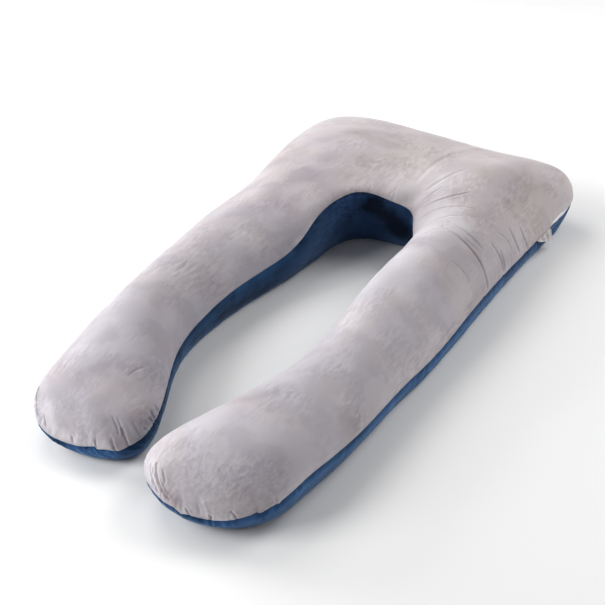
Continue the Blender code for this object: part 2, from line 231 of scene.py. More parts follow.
class Skin:
    """Points of the whole outside, and the numbers of those on its grey top and navy base.

    along and away: how far along the seam, and how far from it, each point is at first.
    """

    def __init__(self, spots):
        top, base = top_points(spots), resting_base(spots)
        rungs, top_columns, base_columns = len(spots), top.shape[1], base.shape[1]
        self.spots = spots
        self.top = np.zeros((rungs, top_columns), int)
        self.base = np.zeros((rungs, base_columns), int)
        inner_rungs = rungs - 2
        top_count = inner_rungs * top_columns
        self.top[-1] = self.base[-1] = 1
        self.top[1:-1] = 2 + np.arange(top_count).reshape(inner_rungs, top_columns)
        self.base[1:-1, 0] = self.top[1:-1, 0]
        self.base[1:-1, -1] = self.top[1:-1, -1]
        base_count = inner_rungs * (base_columns - 2)
        self.base[1:-1, 1:-1] = 2 + top_count + np.arange(base_count).reshape(inner_rungs, -1)
        self.points = np.zeros((2 + top_count + base_count, 3))
        self.points[self.base] = base
        self.points[self.top] = top
        self.measure_seam()

    def measure_seam(self):
        """Seam numbers in order, how far along the seam each is, and each point's place by it."""
        self.seam = loop_of(self.top)
        loop = self.points[np.append(self.seam, self.seam[0])]
        lengths = np.linalg.norm(np.diff(loop, axis=0), axis=1)
        self.seam_at = np.concatenate(([0], np.cumsum(lengths)))
        self.seam_length = self.seam_at[-1]
        shares = np.arange(SEAM_MARKS) / SEAM_MARKS
        trail = loop[:-1, None] + (loop[1:] - loop[:-1])[:, None] * shares[None, :, None]
        marks = self.seam_at[:-1, None] + np.diff(self.seam_at)[:, None] * shares[None, :]
        tree = nearest_finder(trail.reshape(-1, 3))
        number, self.away = np.array([tree.find(point)[1:] for point in self.points]).T
        self.along = marks.ravel()[number.astype(int)]

    def side(self, name):
        """Numbers of the points of the grey top or the navy base, rung by rung."""
        return self.top if name == "top" else self.base

    def normals(self):
        """Outward unit normals of all points."""
        total = np.zeros_like(self.points)
        for grid, way in ((self.top, -1), (self.base, 1)):
            a, b, c, d = (corner.ravel() for corner in corners_of(grid))
            across, over = self.points[c] - self.points[a], self.points[d] - self.points[b]
            face = np.cross(across, over) * way
            for corner in (a, b, c, d):
                np.add.at(total, corner, face)
        length = np.linalg.norm(total, axis=1)
        return total / np.maximum(length, TINY)[:, None]


def corners_of(grid):
    """The four corners of each face of a grid, one after the other round it."""
    return grid[:-1, :-1], grid[1:, :-1], grid[1:, 1:], grid[:-1, 1:]


def loop_of(grid):
    """The border of a grid whose first and last rung are one point each."""
    return np.concatenate((grid[:, 0], grid[-2:0:-1, -1]))


def seam_place(skin, rail, spot):
    """How far along the seam a spot of a rail is."""
    rungs = len(skin.spots)
    if rail == "outer":
        return np.interp(spot, skin.spots, skin.seam_at[:rungs])
    return np.interp(-spot, -skin.spots[::-1], skin.seam_at[rungs - 1:])


def short_way(skin, along, place):
    """How far from a place of the seam each point is, along it and the short way round."""
    sideways = along - place
    return sideways - skin.seam_length * np.round(sideways / skin.seam_length)


def spread_between(grid, rungs, columns):
    """Points of a grid at rungs and columns that aren't whole numbers."""
    low_rung = np.clip(rungs.astype(int), 0, grid.shape[0] - 2)
    low_column = np.clip(columns.astype(int), 0, grid.shape[1] - 2)
    up, over = (rungs - low_rung)[:, None], (columns - low_column)[:, None]
    near = grid[low_rung, low_column] * (1 - over) + grid[low_rung, low_column + 1] * over
    far = grid[low_rung + 1, low_column] * (1 - over) + grid[low_rung + 1, low_column + 1] * over
    return near * (1 - up) + far * up


def places_on(skin, side, spots):
    """Points of one side of the skin. spots: a row and a share of the way over for each."""
    grid = skin.side(side)
    rungs = np.interp(spots[:, 0], skin.spots, np.arange(len(skin.spots)))
    return spread_between(skin.points[grid], rungs, spots[:, 1] * (grid.shape[1] - 1))


def surface_path(skin, side, places, step):
    """Points along a curve through three places of one side of the skin."""
    first, middle, last = (np.array(place) for place in places)
    steps = FIRST_PATH_STEPS
    while True:
        way = np.linspace(0, 1, steps)[:, None]
        spots = (first * (1 - way) * (1 - 2 * way) + middle * 4 * way * (1 - way)
                 + last * way * (2 * way - 1))
        path = places_on(skin, side, spots)
        length = np.linalg.norm(np.diff(path, axis=0), axis=1).sum()
        if steps * step > length:
            return path
        steps = int(length / step) + 2


def near_path(points, path, reach):
    """Points about a path: their numbers, the nearest point of the path, and how far it is."""
    inside = (points > path.min(axis=0) - reach) & (points < path.max(axis=0) + reach)
    near = np.nonzero(inside.all(axis=1))[0]
    apart = np.linalg.norm(points[near][:, None, :] - path[None, :, :], axis=2)
    nearest = np.argmin(apart, axis=1)
    return near, nearest, apart[np.arange(len(near)), nearest]


# ---- Creases -------------------------------------------------------------------------------------
# Creases on the grey panel. row: place along the rails, as in the table of sections. across: share
# of the way over the top, 0 at the outer seam and 1 at the inner one. A crease curves through its
# three places. width: from its middle to its shoulder. depth: below 0 for a ridge. Millimetres.
CREASES = table("row1 across1 row2 across2 row3 across3 width depth name", (
    (11.25, 0.585, 11.55, 0.330, 11.64, 0.041,  2.9,  3.3, "shoulder, long"),
    (11.12, 0.571, 11.30, 0.443, 11.42, 0.302,  2.8,  2.7, "shoulder, short"),
    (11.42, 0.432, 11.46, 0.375, 11.49, 0.318,  2.8,  1.5, "shoulder, second"),
    (11.92, 0.381, 11.92, 0.294, 11.94, 0.208,  2.4,  1.3, "shoulder, faint"),
    (11.26, 0.271, 11.28, 0.152, 11.28, 0.033,  3.0,  2.1, "side, first"),
    (11.21, 0.188, 11.24, 0.097, 11.24, 0.010,  3.1,  2.7, "side, second"),
    (10.86, 0.245, 10.91, 0.144, 10.90, 0.052,  3.2,  2.8, "side, third"),
    (10.71, 0.193, 10.74, 0.102, 10.71, 0.021,  3.1,  2.6, "side, fourth"),
    (11.05, 0.287, 11.02, 0.207, 11.05, 0.116,  2.6,  1.6, "side, fifth"),
    ( 9.98, 0.823, 10.16, 0.673, 10.17, 0.564,  3.2,  2.2, "curve, dark"),
    (10.40, 0.865, 10.57, 0.663, 10.72, 0.502,  2.2,  1.5, "curve, thin"),
    ( 9.51, 0.846,  9.49, 0.780,  9.48, 0.719,  3.0,  1.3, "curve, upper"),
    ( 9.10, 0.794,  8.99, 0.692,  8.91, 0.604,  4.0,  1.4, "curve, high"),
    ( 8.38, 0.748,  8.22, 0.565,  8.22, 0.432,  5.0,  1.2, "curve, highest"),
    (11.15, 0.745, 10.97, 0.644, 10.96, 0.521,  2.4,  1.0, "curve, fine"),
    (11.53, 0.680, 11.37, 0.633, 11.36, 0.544,  2.4,  0.9, "curve, lowest"),
    (-0.02, 0.853, -0.06, 0.918, -0.05, 0.990,  2.6,  2.7, "left end, first"),
    ( 0.29, 0.708,  0.22, 0.762,  0.14, 0.828,  2.4,  2.2, "left end, second"),
    ( 0.33, 0.734,  0.26, 0.783,  0.18, 0.854,  2.6,  2.0, "left end, third"),
    ( 0.25, 0.813,  0.18, 0.899,  0.17, 0.995,  2.9,  2.9, "left end, fourth"),
    ( 0.48, 0.828,  0.43, 0.894,  0.43, 0.979,  2.4,  2.5, "left end, fifth"),
    ( 0.59, 0.884,  0.59, 0.944,  0.65, 0.996,  2.2,  2.1, "left end, sixth"),
    ( 0.81, 0.917,  0.83, 0.958,  0.85, 0.995,  2.6,  2.8, "left end, seventh"),
    ( 0.95, 0.892,  0.93, 0.944,  0.94, 0.997,  2.8,  3.3, "left end, eighth"),
    ( 1.12, 0.908,  1.13, 0.960,  1.17, 0.994,  2.2,  2.6, "left end, ninth"),
    ( 0.28, 0.621,  0.16, 0.694,  0.06, 0.784, 16.0,  3.5, "left end, hollow"),
    (-0.28, 0.860, -0.30, 0.905, -0.31, 0.948,  2.0,  2.0, "left end, notch"),
    (-0.49, 0.325, -0.63, 0.344, -0.79, 0.343,  2.2,  1.6, "left end, edge"),
    (-0.53, 0.714, -0.58, 0.800, -0.62, 0.920,  2.2,  1.2, "left end, short"),
    (-0.34, 0.791, -0.35, 0.835, -0.37, 0.890,  2.2,  1.0, "left end, shorter"),
    ( 1.21, 0.651,  1.39, 0.675,  1.55, 0.716,  1.8,  1.2, "left end, thin"),
    ( 0.25, 0.142,  0.03, 0.140, -0.15, 0.154,  2.2,  4.2, "left end, rim"),
    (-0.25, 0.161, -0.40, 0.169, -0.55, 0.167,  2.2,  2.4, "left end, rim low"),
    (17.11, 0.755, 17.44, 0.783, 17.71, 0.806,  2.5,  3.4, "right end, first"),
    (17.21, 0.704, 17.30, 0.699, 17.41, 0.703,  2.4,  1.8, "right end, second"),
    (17.19, 0.794, 17.40, 0.859, 17.56, 0.903,  2.3,  2.3, "right end, third"),
    (17.11, 0.817, 17.28, 0.843, 17.42, 0.885,  2.3,  1.6, "right end, fourth"),
    (17.37, 0.760, 17.50, 0.750, 17.62, 0.768,  2.4, -1.4, "right end ridge"),
    (17.61, 0.662, 17.63, 0.603, 17.63, 0.537, 11.0,  1.8, "right end, hollow"),
    (17.84, 0.500, 17.90, 0.442, 17.94, 0.287,  2.2,  2.4, "right end, fifth"),
    (17.68, 0.146, 17.68, 0.078, 17.71, 0.010,  2.2,  2.2, "right end, sixth"),
    (17.52, 0.370, 17.63, 0.274, 17.71, 0.100,  4.0, -1.3, "right end, low ridge"),
    (17.40, 0.115, 17.39, 0.062, 17.39, 0.013,  2.3,  2.6, "right end, seventh"),
    (16.90, 0.432, 16.93, 0.417, 16.95, 0.403,  2.6,  1.1, "right end, eighth"),
    (17.10, 0.554, 17.13, 0.545, 17.17, 0.537,  2.6,  0.9, "right end, ninth"),
    (17.11, 0.063, 17.11, 0.044, 17.11, 0.025,  2.2,  1.8, "right end, tenth"),
    (16.77, 0.057, 16.77, 0.034, 16.78, 0.011,  2.2,  1.6, "right end, last"),
    ( 8.02, 0.800,  8.10, 0.600,  8.22, 0.300, 16.0, -2.0, "head ridge"),
    ( 3.60, 0.560,  3.45, 0.575,  3.30, 0.560,  4.0,  1.0, "left arm, upper"),
))
CREASE_STEP = 0.8 * MM        # between two points of a crease's path
CREASE_FADE = (0.10, 0.90)    # a crease's ends keep this share of a half wave of its depth
CREASE_REACH = 4              # widths to either side that a crease is worked out for
SHOULDER_RISE = 0.35          # cloth beside a trough stands up by this share of its depth
SHOULDER_AWAY = 2.1           # widths from the trough's middle
SHOULDER_WIDTH = 0.9          # widths
CREASE_ZONES = (7.0 * MM, 4.0 * MM)   # the panel is cut finer this near to a narrow crease, twice
NARROW_CREASE = 4.5           # a crease up to this wide, in millimetres, is narrow


def crease_path(crease, skin):
    """Points along one crease, on the panel."""
    return surface_path(skin, "top", (crease[0:2], crease[2:4], crease[4:6]), CREASE_STEP)


def crease_depths(surface, paths):
    """How far the creases press each point in; below 0 on ridges and beside troughs."""
    depths = np.zeros(len(surface))
    for crease, path in zip(CREASES, paths):
        width, depth = crease.width * MM, crease.depth * MM
        near, nearest, apart = near_path(surface, path, CREASE_REACH * width)
        fade = np.sqrt(np.sin(np.linspace(*CREASE_FADE, len(path)) * np.pi))
        distance = apart / width
        trough = bell(distance, 1)
        if depth > 0:
            trough -= SHOULDER_RISE * bell(distance - SHOULDER_AWAY, SHOULDER_WIDTH)
        depths[near] += depth * fade[nearest] * trough
    return depths


# ---- The seam's steps and sags -------------------------------------------------------------------
# Places where the seam doesn't lie as the rails have it. rise and out: how far up and how far
# outwards it is shifted. before and after: how far the shift reaches to either side along the
# seam, so that one short side makes a step. Millimetres.
SEAM_SHIFTS = table("rail spot rise out before after name", (
    ("inner", -0.33,   5.5, 0.0,  2.0, 26.0, "left end, step up"),
    ("inner", -0.31,  -1.5, 0.0, 10.0,  2.0, "left end, step down"),
    ("inner", -0.03,  -5.5, 0.0, 18.0, 16.0, "left end, sag"),
    ("inner",  0.90,   2.5, 0.0,  5.0,  9.0, "left end, pleat"),
    ("inner", 17.84,   4.5, 0.0,  2.5, 18.0, "right end, step up"),
    ("inner", 17.93,  -3.5, 0.0,  6.0,  4.0, "right end, step down"),
    ("outer", 17.95,   1.6, 0.0,  2.0,  8.0, "right end, small step"),
    ("outer", 17.50,  -5.5, 0.0, 40.0, 45.0, "right end, sag"),
    ("outer", 17.12,   3.0, 0.0,  2.0,  7.0, "right end, second up"),
    ("outer", 17.07,  -3.5, 0.0, 10.0,  2.0, "right end, second sag"),
    ("outer", 16.73,  -3.0, 0.0,  9.0,  3.0, "right end, third sag"),
    ("outer", 11.74,   2.8, 0.0,  6.0,  3.5, "right arm, notch"),
    ("outer", 11.29,   3.2, 0.0,  4.0,  3.0, "shoulder, notch"),
    ("outer",  9.27,   0.0, 7.0, 32.0, 17.0, "corner, pushed out"),
    ("outer",  9.46, -10.0, 0.0, 32.0, 22.0, "corner, sag"),
    ("outer",  9.72,  -4.0, 0.0, 16.0, 14.0, "zip, sag"),
    ("outer", 10.06,   3.5, 0.0, 12.0, 10.0, "zip, rise"),
    ("outer", 10.52,   2.5, 0.0,  2.5,  5.0, "beside the tab"),
))
SEAM_SHIFT_REACH = 22.0 * MM
SEAM_WAVES = (15.0, 1.8 * MM)         # waves a metre along the seam, and their height
LEAST_SIDEWAYS = 0.1          # of a normal, below which the cloth is level and not shifted in full


def seam_shifts(skin):
    """How far the seam, and the cloth beside it, is shifted up and out from the rails."""
    waves, height = SEAM_WAVES
    around = skin.along / skin.seam_length * 2 * np.pi
    radius = waves * skin.seam_length / (2 * np.pi)
    places = np.column_stack((np.cos(around), np.sin(around))) * radius
    lift = height * np.array([noise.noise(Vector((*place, 0))) for place in places])
    out = np.zeros(len(places))
    for shift in SEAM_SHIFTS:
        sideways = short_way(skin, skin.along, seam_place(skin, shift.rail, shift.spot))
        share = bell(sideways, np.where(sideways < 0, shift.before, shift.after) * MM)
        lift += shift.rise * MM * share
        out += shift.out * MM * share
    fade = bell(skin.away, SEAM_SHIFT_REACH)
    return lift * fade, out * fade


def step_seam(skin):
    """Shift the seam where it steps and sags."""
    lift, out = seam_shifts(skin)
    sideways = skin.normals() * (1, 1, 0)
    sideways /= np.maximum(np.linalg.norm(sideways, axis=1), LEAST_SIDEWAYS)[:, None]
    skin.points += sideways * out[:, None]
    skin.points[:, 2] += lift


# ---- Gathers and puckers -------------------------------------------------------------------------
# Small folds that run off the seam, where the panel is gathered into it. rail, start and end:
# a stretch of the seam, in rows. lean: how far a fold slants for each step that it takes from
# the seam. spacing, reach, width and depth in millimetres.
GATHERING = "rail start end spacing reach width depth lean name"
GREY_GATHERS = table(GATHERING, (
    ("outer", -1.0,  0.9, 17, 22, 3.4, 1.0, 0.0, "left end, outside"),
    ("outer",  0.9,  7.0, 34, 18, 5.0, 0.7, 0.0, "left arm, outside"),
    ("outer",  7.0,  9.4, 30, 18, 5.0, 0.7, 0.0, "head"),
    ("outer",  9.4, 10.2, 18, 20, 4.5, 1.2, 0.0, "zip"),
    ("outer", 10.2, 11.9, 17, 34, 4.0, 1.0, 0.0, "right shoulder"),
    ("outer", 11.9, 16.2, 30, 18, 5.0, 0.9, 0.0, "right arm, outside"),
    ("outer", 16.2, 18.0, 16, 24, 3.6, 1.0, 0.0, "right end, outside"),
    ("inner", 16.4, 18.0, 15, 26, 3.6, 1.0, 0.0, "right end, inside"),
    ("inner", 11.4, 16.4, 34, 18, 5.0, 0.8, 0.0, "right arm, inside"),
    ("inner",  6.0, 11.4, 17, 24, 4.0, 1.0, 0.0, "head's curve"),
    ("inner",  1.0,  6.0, 24, 22, 4.5, 1.0, 0.0, "left arm, inside"),
    ("inner", -1.0,  1.0, 13, 24, 3.4, 1.3, 0.0, "left end, inside"),
))
NAVY_GATHERS = table(GATHERING, (
    ("outer", -1.0,  0.5, 11, 16, 3.4, 3.0, -0.9, "left end, outside"),
    ("outer",  0.5,  7.0, 36, 18, 5.0, 0.7,  0.0, "left arm, outside"),
    ("outer",  7.0, 10.3, 30, 18, 5.0, 0.8,  0.0, "head"),
    ("outer", 10.3, 16.0, 36, 20, 6.0, 1.2,  0.0, "right side"),
    ("outer", 16.0, 18.0, 32, 15, 5.0, 3.8,  0.0, "right end, outside"),
    ("inner", 16.4, 18.0, 18, 18, 4.0, 1.4,  0.0, "right end, inside"),
    ("inner",  1.0, 16.4, 40, 26, 6.0, 0.9,  0.0, "inside"),
    ("inner", -1.0,  1.0, 11, 16, 3.4, 3.2, -0.9, "left end, inside"),
))
GATHER_FAR = 90 * MM          # no gather reaches further from the seam
GATHER_START = 7.0 * MM       # a gather reaches its depth this far from the seam
GATHER_CALM = 0.75            # and lacks this share of it at the seam itself
GATHER_BESIDE = 0.3           # cloth beside a gather stands up by this share of its depth
GATHER_BESIDE_AWAY = 2        # widths from its middle
GATHER_SIZES = (0.55, 1.5)    # shares of its stretch's reach, width and depth that a gather has
GATHER_FIRST = (0.2, 0.9)     # shares of the spacing before the first gather
GATHER_STEPS = (0.45, 1.6)    # and before each further one
GATHER_LEANS = (-0.4, 0.4)    # added to its stretch's lean
GATHER_HOOKS = (-6, 6)        # how strongly it curves as it goes, per metre

# Single deep puckers on the navy side, close below the seam. below, width and depth in
# millimetres. tall: its height over its width.
PUCKERS = table("rail spot below width tall depth name", (
    ("outer", 17.10, 8.0, 4.5, 1.6, 6.0, "right end, lowest"),
    ("outer", 16.80, 7.0, 4.5, 1.8, 6.0, "right end, second"),
    ("outer", 16.20, 7.0, 4.5, 1.6, 5.5, "right end, third"),
    ("outer", 15.70, 8.0, 5.0, 1.4, 2.5, "right swell"),
    ("inner", -0.24, 6.0, 4.0, 1.8, 4.5, "left end, first"),
    ("inner", -0.12, 7.0, 4.0, 1.8, 4.0, "left end, second"),
    ("inner", -0.45, 6.0, 3.5, 1.8, 3.5, "left end, third"),
))


def gather_depths(skin, gatherings, seed):
    """How far the small folds off the seam press each point in."""
    chance = np.random.default_rng(seed)
    depths = np.zeros(len(skin.points))
    near = np.nonzero(skin.away < GATHER_FAR)[0]
    along, away = skin.along[near], skin.away[near]
    for zone in gatherings:
        first, last = sorted(seam_place(skin, zone.rail, spot) for spot in (zone.start, zone.end))
        place = first + zone.spacing * MM * chance.uniform(*GATHER_FIRST)
        while place < last:
            reach, width, depth = (
                size * MM * chance.uniform(*GATHER_SIZES)
                for size in (zone.reach, zone.width, zone.depth)
            )
            lean = zone.lean + chance.uniform(*GATHER_LEANS)
            hook = chance.uniform(*GATHER_HOOKS)
            sideways = short_way(skin, along, place) - (away * lean + away**2 * hook)
            run = bell(away, reach) * (1 - GATHER_CALM * bell(away, GATHER_START))
            beside = GATHER_BESIDE * bell(np.abs(sideways) / width - GATHER_BESIDE_AWAY, 1)
            depths[near] += depth * run * (bell(sideways, width) - beside)
            place += zone.spacing * MM * chance.uniform(*GATHER_STEPS)
    return depths


def pucker_depths(skin):
    """How far the single puckers press each point in."""
    depths = np.zeros(len(skin.points))
    for pucker in PUCKERS:
        width = pucker.width * MM
        sideways = short_way(skin, skin.along, seam_place(skin, pucker.rail, pucker.spot)) / width
        below = (skin.away - pucker.below * MM) / (pucker.tall * width)
        depths += pucker.depth * MM * np.exp(-(sideways**2) - below**2)
    return depths


# ---- Swells --------------------------------------------------------------------------------------
# Places where the stuffing stands fuller than the table of sections has it, or less full. across:
# share of the way over that side, 0 at the outer seam and 1 at the inner one. Millimetres.
SWELLS = table("side row across radius height name", (
    ("top" , 9.15, 0.12,  65,  4.5, "head, right corner"),
    ("top" , 8.00, 0.20, 120,  3.5, "head, back edge"),
    ("base", 8.35, 0.72,  55,  9.0, "under the head's curve"),
    ("base", 7.20, 0.62,  70,  5.0, "middle of the curve"),
    ("base", 6.20, 0.70,  65,  6.0, "left arm, under curve"),
    ("base", 5.10, 0.78,  80,  4.0, "left arm, inner side"),
    ("base", 9.90, 0.15,  45, -6.0, "under the zip"),
))
SWELL_START = (3 * MM, 20 * MM)       # a swell grows to its height over this way from the seam
GREY_SWELL = 1.0 * MM         # both sides stand fuller than the table has them by this much
NAVY_SWELL = 2.5 * MM
NAVY_SWELL_START = 15 * MM            # over this way from the seam
UNEVENNESS = ((4.0, 2.2 * MM), (11.0, 0.9 * MM), (34.0, 0.25 * MM))   # waves a metre, height
UNEVENNESS_START = 50 * MM
NAVY_UNEVENNESS = ((9.0, 3.0 * MM), (20.0, 1.2 * MM))
NAVY_UNEVENNESS_START = 30 * MM
FLOOR_CALM = (2 * MM, 12 * MM)        # above the floor, over which the navy side's folds grow
GREY_DRAW = -0.5 * MM         # the grey edge stands out over the seam by this much, like a lip
NAVY_DRAW = 3.0 * MM          # and the navy edge is drawn in, and lies in its shade
SEAM_DRAW_REACH = 5.0 * MM


def local_swells(skin):
    """How much further out the fuller places stand."""
    rise = np.zeros(len(skin.points))
    for swell in SWELLS:
        middle = places_on(skin, swell.side, np.array([(swell.row, swell.across)]))[0]
        numbers = np.unique(skin.side(swell.side))
        apart = np.linalg.norm(skin.points[numbers] - middle, axis=1)
        rise[numbers] += swell.height * MM * bell(apart, swell.radius * MM)
    return rise


def unevenness(points, swells):
    """Soft swells of the stuffing under the cloth."""
    height = np.zeros(len(points))
    for waves, tall in swells:
        height += [tall * noise.noise(Vector(point) * waves) for point in points]
    return height


def panel_rises(skin):
    """How far out each point stands: the stuffing's swells, less the folds of its own side."""
    top = np.unique(skin.top)
    navy = np.setdiff1d(np.unique(skin.base), top)
    navy_away = skin.away[navy]
    above_floor = ramp(skin.points[navy, 2], *FLOOR_CALM)
    rise = unevenness(skin.points, UNEVENNESS) * ramp(skin.away, 0, UNEVENNESS_START)
    rise += local_swells(skin) * ramp(skin.away, *SWELL_START)
    rise += stuffed(skin) * ramp(skin.away, *STUFFING_EDGE)
    rise[top] += GREY_SWELL - gather_depths(skin, GREY_GATHERS, seed=3)[top]
    rise[navy] += NAVY_SWELL * ramp(navy_away, 0, NAVY_SWELL_START)
    waves = unevenness(skin.points[navy], NAVY_UNEVENNESS)
    rise[navy] += waves * ramp(navy_away, 0, NAVY_UNEVENNESS_START)
    rise[navy] -= gather_depths(skin, NAVY_GATHERS, seed=8)[navy]
    rise[navy] -= pucker_depths(skin)[navy]
    rise[navy] *= above_floor
    return rise


# ---- Stuffing: a cloth simulation blows the skin up, held at its seam ----------------------------
STUFFING_PRESSURE = 4.0
STUFFING_FRAMES = 20
STUFFING_CAP = 9.0 * MM       # no point moves further than this
STUFFING_SHRINK = 4.0 * MM    # the skin starts this much smaller, because it swells
STUFFING_EDGE = (8 * MM, 45 * MM)     # the stuffing's swell grows over this way from the seam
SLACK = -0.015                # below 0: the cloth is cut larger than its seam lets it lie
BROAD_KEPT = 0.22             # share of its broad swell that is used, as the table has the size
FOLDS_KEPT = 0.28             # share of the folds that it makes
BROAD_PASSES = 60             # of smoothing, which leave the broad swell without its folds
REFINED_PASSES = 3            # of smoothing, once it is spread over the fine skin
COARSE_RUNGS = 2              # the simulated skin has every second rung
COARSE_COLUMNS = 4            # and every fourth column


def quads_of(grid):
    """Faces of a grid of point numbers, without the doubled corners at the tips."""
    faces = np.stack([corner.ravel() for corner in corners_of(grid)], axis=1)
    return [tuple(dict.fromkeys(face)) for face in faces.tolist()]


def new_piece(name, points, faces):
    """A smooth mesh object with its faces turned outwards."""
    mesh = bpy.data.meshes.new(name)
    mesh.from_pydata([tuple(point) for point in points], [], faces)
    shape = bmesh.new()
    shape.from_mesh(mesh)
    bmesh.ops.delete(shape, geom=[v for v in shape.verts if not v.link_faces], context="VERTS")
    bmesh.ops.recalc_face_normals(shape, faces=shape.faces)
    shape.to_mesh(mesh)
    shape.free()
    mesh.shade_smooth()
    piece = bpy.data.objects.new(name, mesh)
    bpy.context.scene.collection.objects.link(piece)
    return piece


def coarse_columns(count):
    """The columns that the coarse skin keeps, the first and the last one among them."""
    columns = list(range(0, count, COARSE_COLUMNS))
    return columns if columns[-1] == count - 1 else columns + [count - 1]


def smoothed(grid, passes):
    """A grid of values with each one drawn towards its neighbours, its border kept."""
    grid = grid.copy()
    for _ in range(passes):
        grid[1:-1] = (grid[:-2] + 2 * grid[1:-1] + grid[2:]) / 4
        grid[:, 1:-1] = (grid[:, :-2] + 2 * grid[:, 1:-1] + grid[:, 2:]) / 4
    return grid


def refined(coarse, rungs, columns, shape):
    """A coarse grid of values spread smoothly over the fine one."""
    wide = np.array([np.interp(np.arange(shape[1]), columns, row) for row in coarse])
    tall = np.array([np.interp(np.arange(shape[0]), rungs, column) for column in wide.T]).T
    return smoothed(tall, REFINED_PASSES)


def settle_cloth(case, held_numbers):
    """Run the cloth simulation on a case that is held at its seam."""
    held = case.vertex_groups.new(name="seam")
    held.add(held_numbers, 1.0, "REPLACE")
    cloth = case.modifiers.new("stuffing", "CLOTH")
    settings = cloth.settings
    settings.quality = 5
    settings.mass = 0.3
    settings.tension_stiffness = settings.compression_stiffness = 15
    settings.shear_stiffness = 5
    settings.bending_stiffness = 0.5
    settings.use_pressure = True
    settings.uniform_pressure_force = STUFFING_PRESSURE
    settings.shrink_min = SLACK
    settings.vertex_group_mass = "seam"
    settings.effector_weights.gravity = 0
    cloth.point_cache.frame_start, cloth.point_cache.frame_end = 1, STUFFING_FRAMES
    for number in range(1, STUFFING_FRAMES + 1):
        bpy.context.scene.frame_set(number)


def blown_up(points, faces, seam_numbers):
    """Where the points of a cloth case come to lie once it is blown up."""
    case = new_piece("stuffing_case", points, faces)
    settle_cloth(case, seam_numbers)
    settled = case.evaluated_get(bpy.context.evaluated_depsgraph_get())
    after = np.empty(points.size)
    settled.to_mesh().vertices.foreach_get("co", after)
    settled.to_mesh_clear()
    bpy.data.objects.remove(case, do_unlink=True)
    bpy.context.scene.frame_set(1)
    return after.reshape(-1, 3)


def stuffed(skin):
    """How far every point of the skin rises when it's stuffed."""
    normals = skin.normals()
    rungs = np.arange(0, len(skin.spots), COARSE_RUNGS)
    top_columns = coarse_columns(skin.top.shape[1])
    base_columns = coarse_columns(skin.base.shape[1])
    top, base = skin.top[np.ix_(rungs, top_columns)], skin.base[np.ix_(rungs, base_columns)]
    used, back = np.unique(np.concatenate((top.ravel(), base.ravel())), return_inverse=True)
    top_numbers = back[:top.size].reshape(top.shape)
    base_numbers = back[top.size:].reshape(base.shape)
    seam = np.unique(top_numbers[:, [0, -1]])
    free = np.setdiff1d(np.arange(len(used)), seam)
    start = skin.points[used].copy()
    start[free] -= normals[used][free] * STUFFING_SHRINK
    start[:, 2] = np.maximum(start[:, 2], 0)
    faces = quads_of(top_numbers) + quads_of(base_numbers[:, ::-1])
    moved = blown_up(start, faces, seam.tolist()) - start

    length = np.linalg.norm(moved, axis=1)
    moved *= np.minimum(1, STUFFING_CAP / np.maximum(length, TINY))[:, None]
    rise = np.sum(moved * normals[used], axis=1)
    rise[free] -= rise[free].mean()
    rises = np.zeros(len(skin.points))
    for grid, numbers, columns in (
        (skin.base, base_numbers, base_columns),
        (skin.top, top_numbers, top_columns),
    ):
        broad = smoothed(rise[numbers], BROAD_PASSES)
        kept = BROAD_KEPT * broad + FOLDS_KEPT * (rise[numbers] - broad)
        rises[grid] = refined(kept, rungs, columns, grid.shape)
    return rises


# ---- The finished skin ---------------------------------------------------------------------------

def shift_to_part(skin):
    """How far the skin has to move to lie where the filled body lies."""
    low, high = skin.points.min(axis=0), skin.points.max(axis=0)
    low_node, high_node = (np.array(corner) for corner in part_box("filled_body"))
    shift = ((low_node + high_node) - (low + high)) / 2
    shift[2] = 0
    return shift


def sewn_skin():
    """The finished outside of the pillow, in the parts' own frame, and its shift to there."""
    skin = Skin(rung_spots())
    shift = shift_to_part(skin)
    step_seam(skin)
    rise = panel_rises(skin) - GREY_DRAW * bell(skin.away, SEAM_DRAW_REACH)
    skin.points += skin.normals() * rise[:, None]
    skin.points[:, 2] = np.maximum(skin.points[:, 2], 0)
    skin.points += shift
    return skin, shift


# ---- Filled body and grey panel ------------------------------------------------------------------
PANEL_THICKNESS = 2.0 * MM
PANEL_SINK = 2.0 * MM         # the panel's hidden underside lies this much deeper still
BODY_SINK = 4.0 * MM          # and the body under it this much, so that no crease meets it
FIT_GAP = 0.4 * MM
EDGE_GAP = 1.2 * MM
UNDERSIDE_STEP = 4            # the hidden sides have every fourth rung and column
UP_COLUMN = 3                 # a look from the seam to this column goes straight up the panel
PARTED_COLUMNS = 6            # of the panel, that its parting lifts

ZIP_START, ZIP_END = 9.50, 10.14   # rail position, in rows
ZIP_PARTING = 11.0 * MM       # the grey edge stands this far off the navy one at the middle
ZIP_SKEW = 1.35               # above 1: it's widest beyond the middle, towards the tab
ZIP_REACH = 12.0 * MM         # and lies on it again this far up the panel


def zip_parting(spots):
    """How far the panels part at each rung of the outer rail."""
    return ZIP_PARTING * np.sin(np.pi * ramp(spots, ZIP_START, ZIP_END) ** ZIP_SKEW)


def way_up(skin):
    """Which way the grey panel climbs from the seam, at each rung of the outer rail."""
    climb = skin.points[skin.top[:, UP_COLUMN]] - skin.points[skin.top[:, 0]]
    return climb / np.maximum(np.linalg.norm(climb, axis=1), TINY)[:, None]


def loop_faces(fine, coarse):
    """Faces between a closed loop and one with an even part of its points."""
    ratio, count = len(fine) // len(coarse), len(coarse)
    faces = []
    for number in range(count):
        upper = np.take(fine, range(number * ratio, (number + 1) * ratio + 1), mode="wrap")
        lower = (coarse[(number + 1) % count], coarse[number])
        faces.append(tuple(int(n) for n in (*upper, *lower)))
    return faces


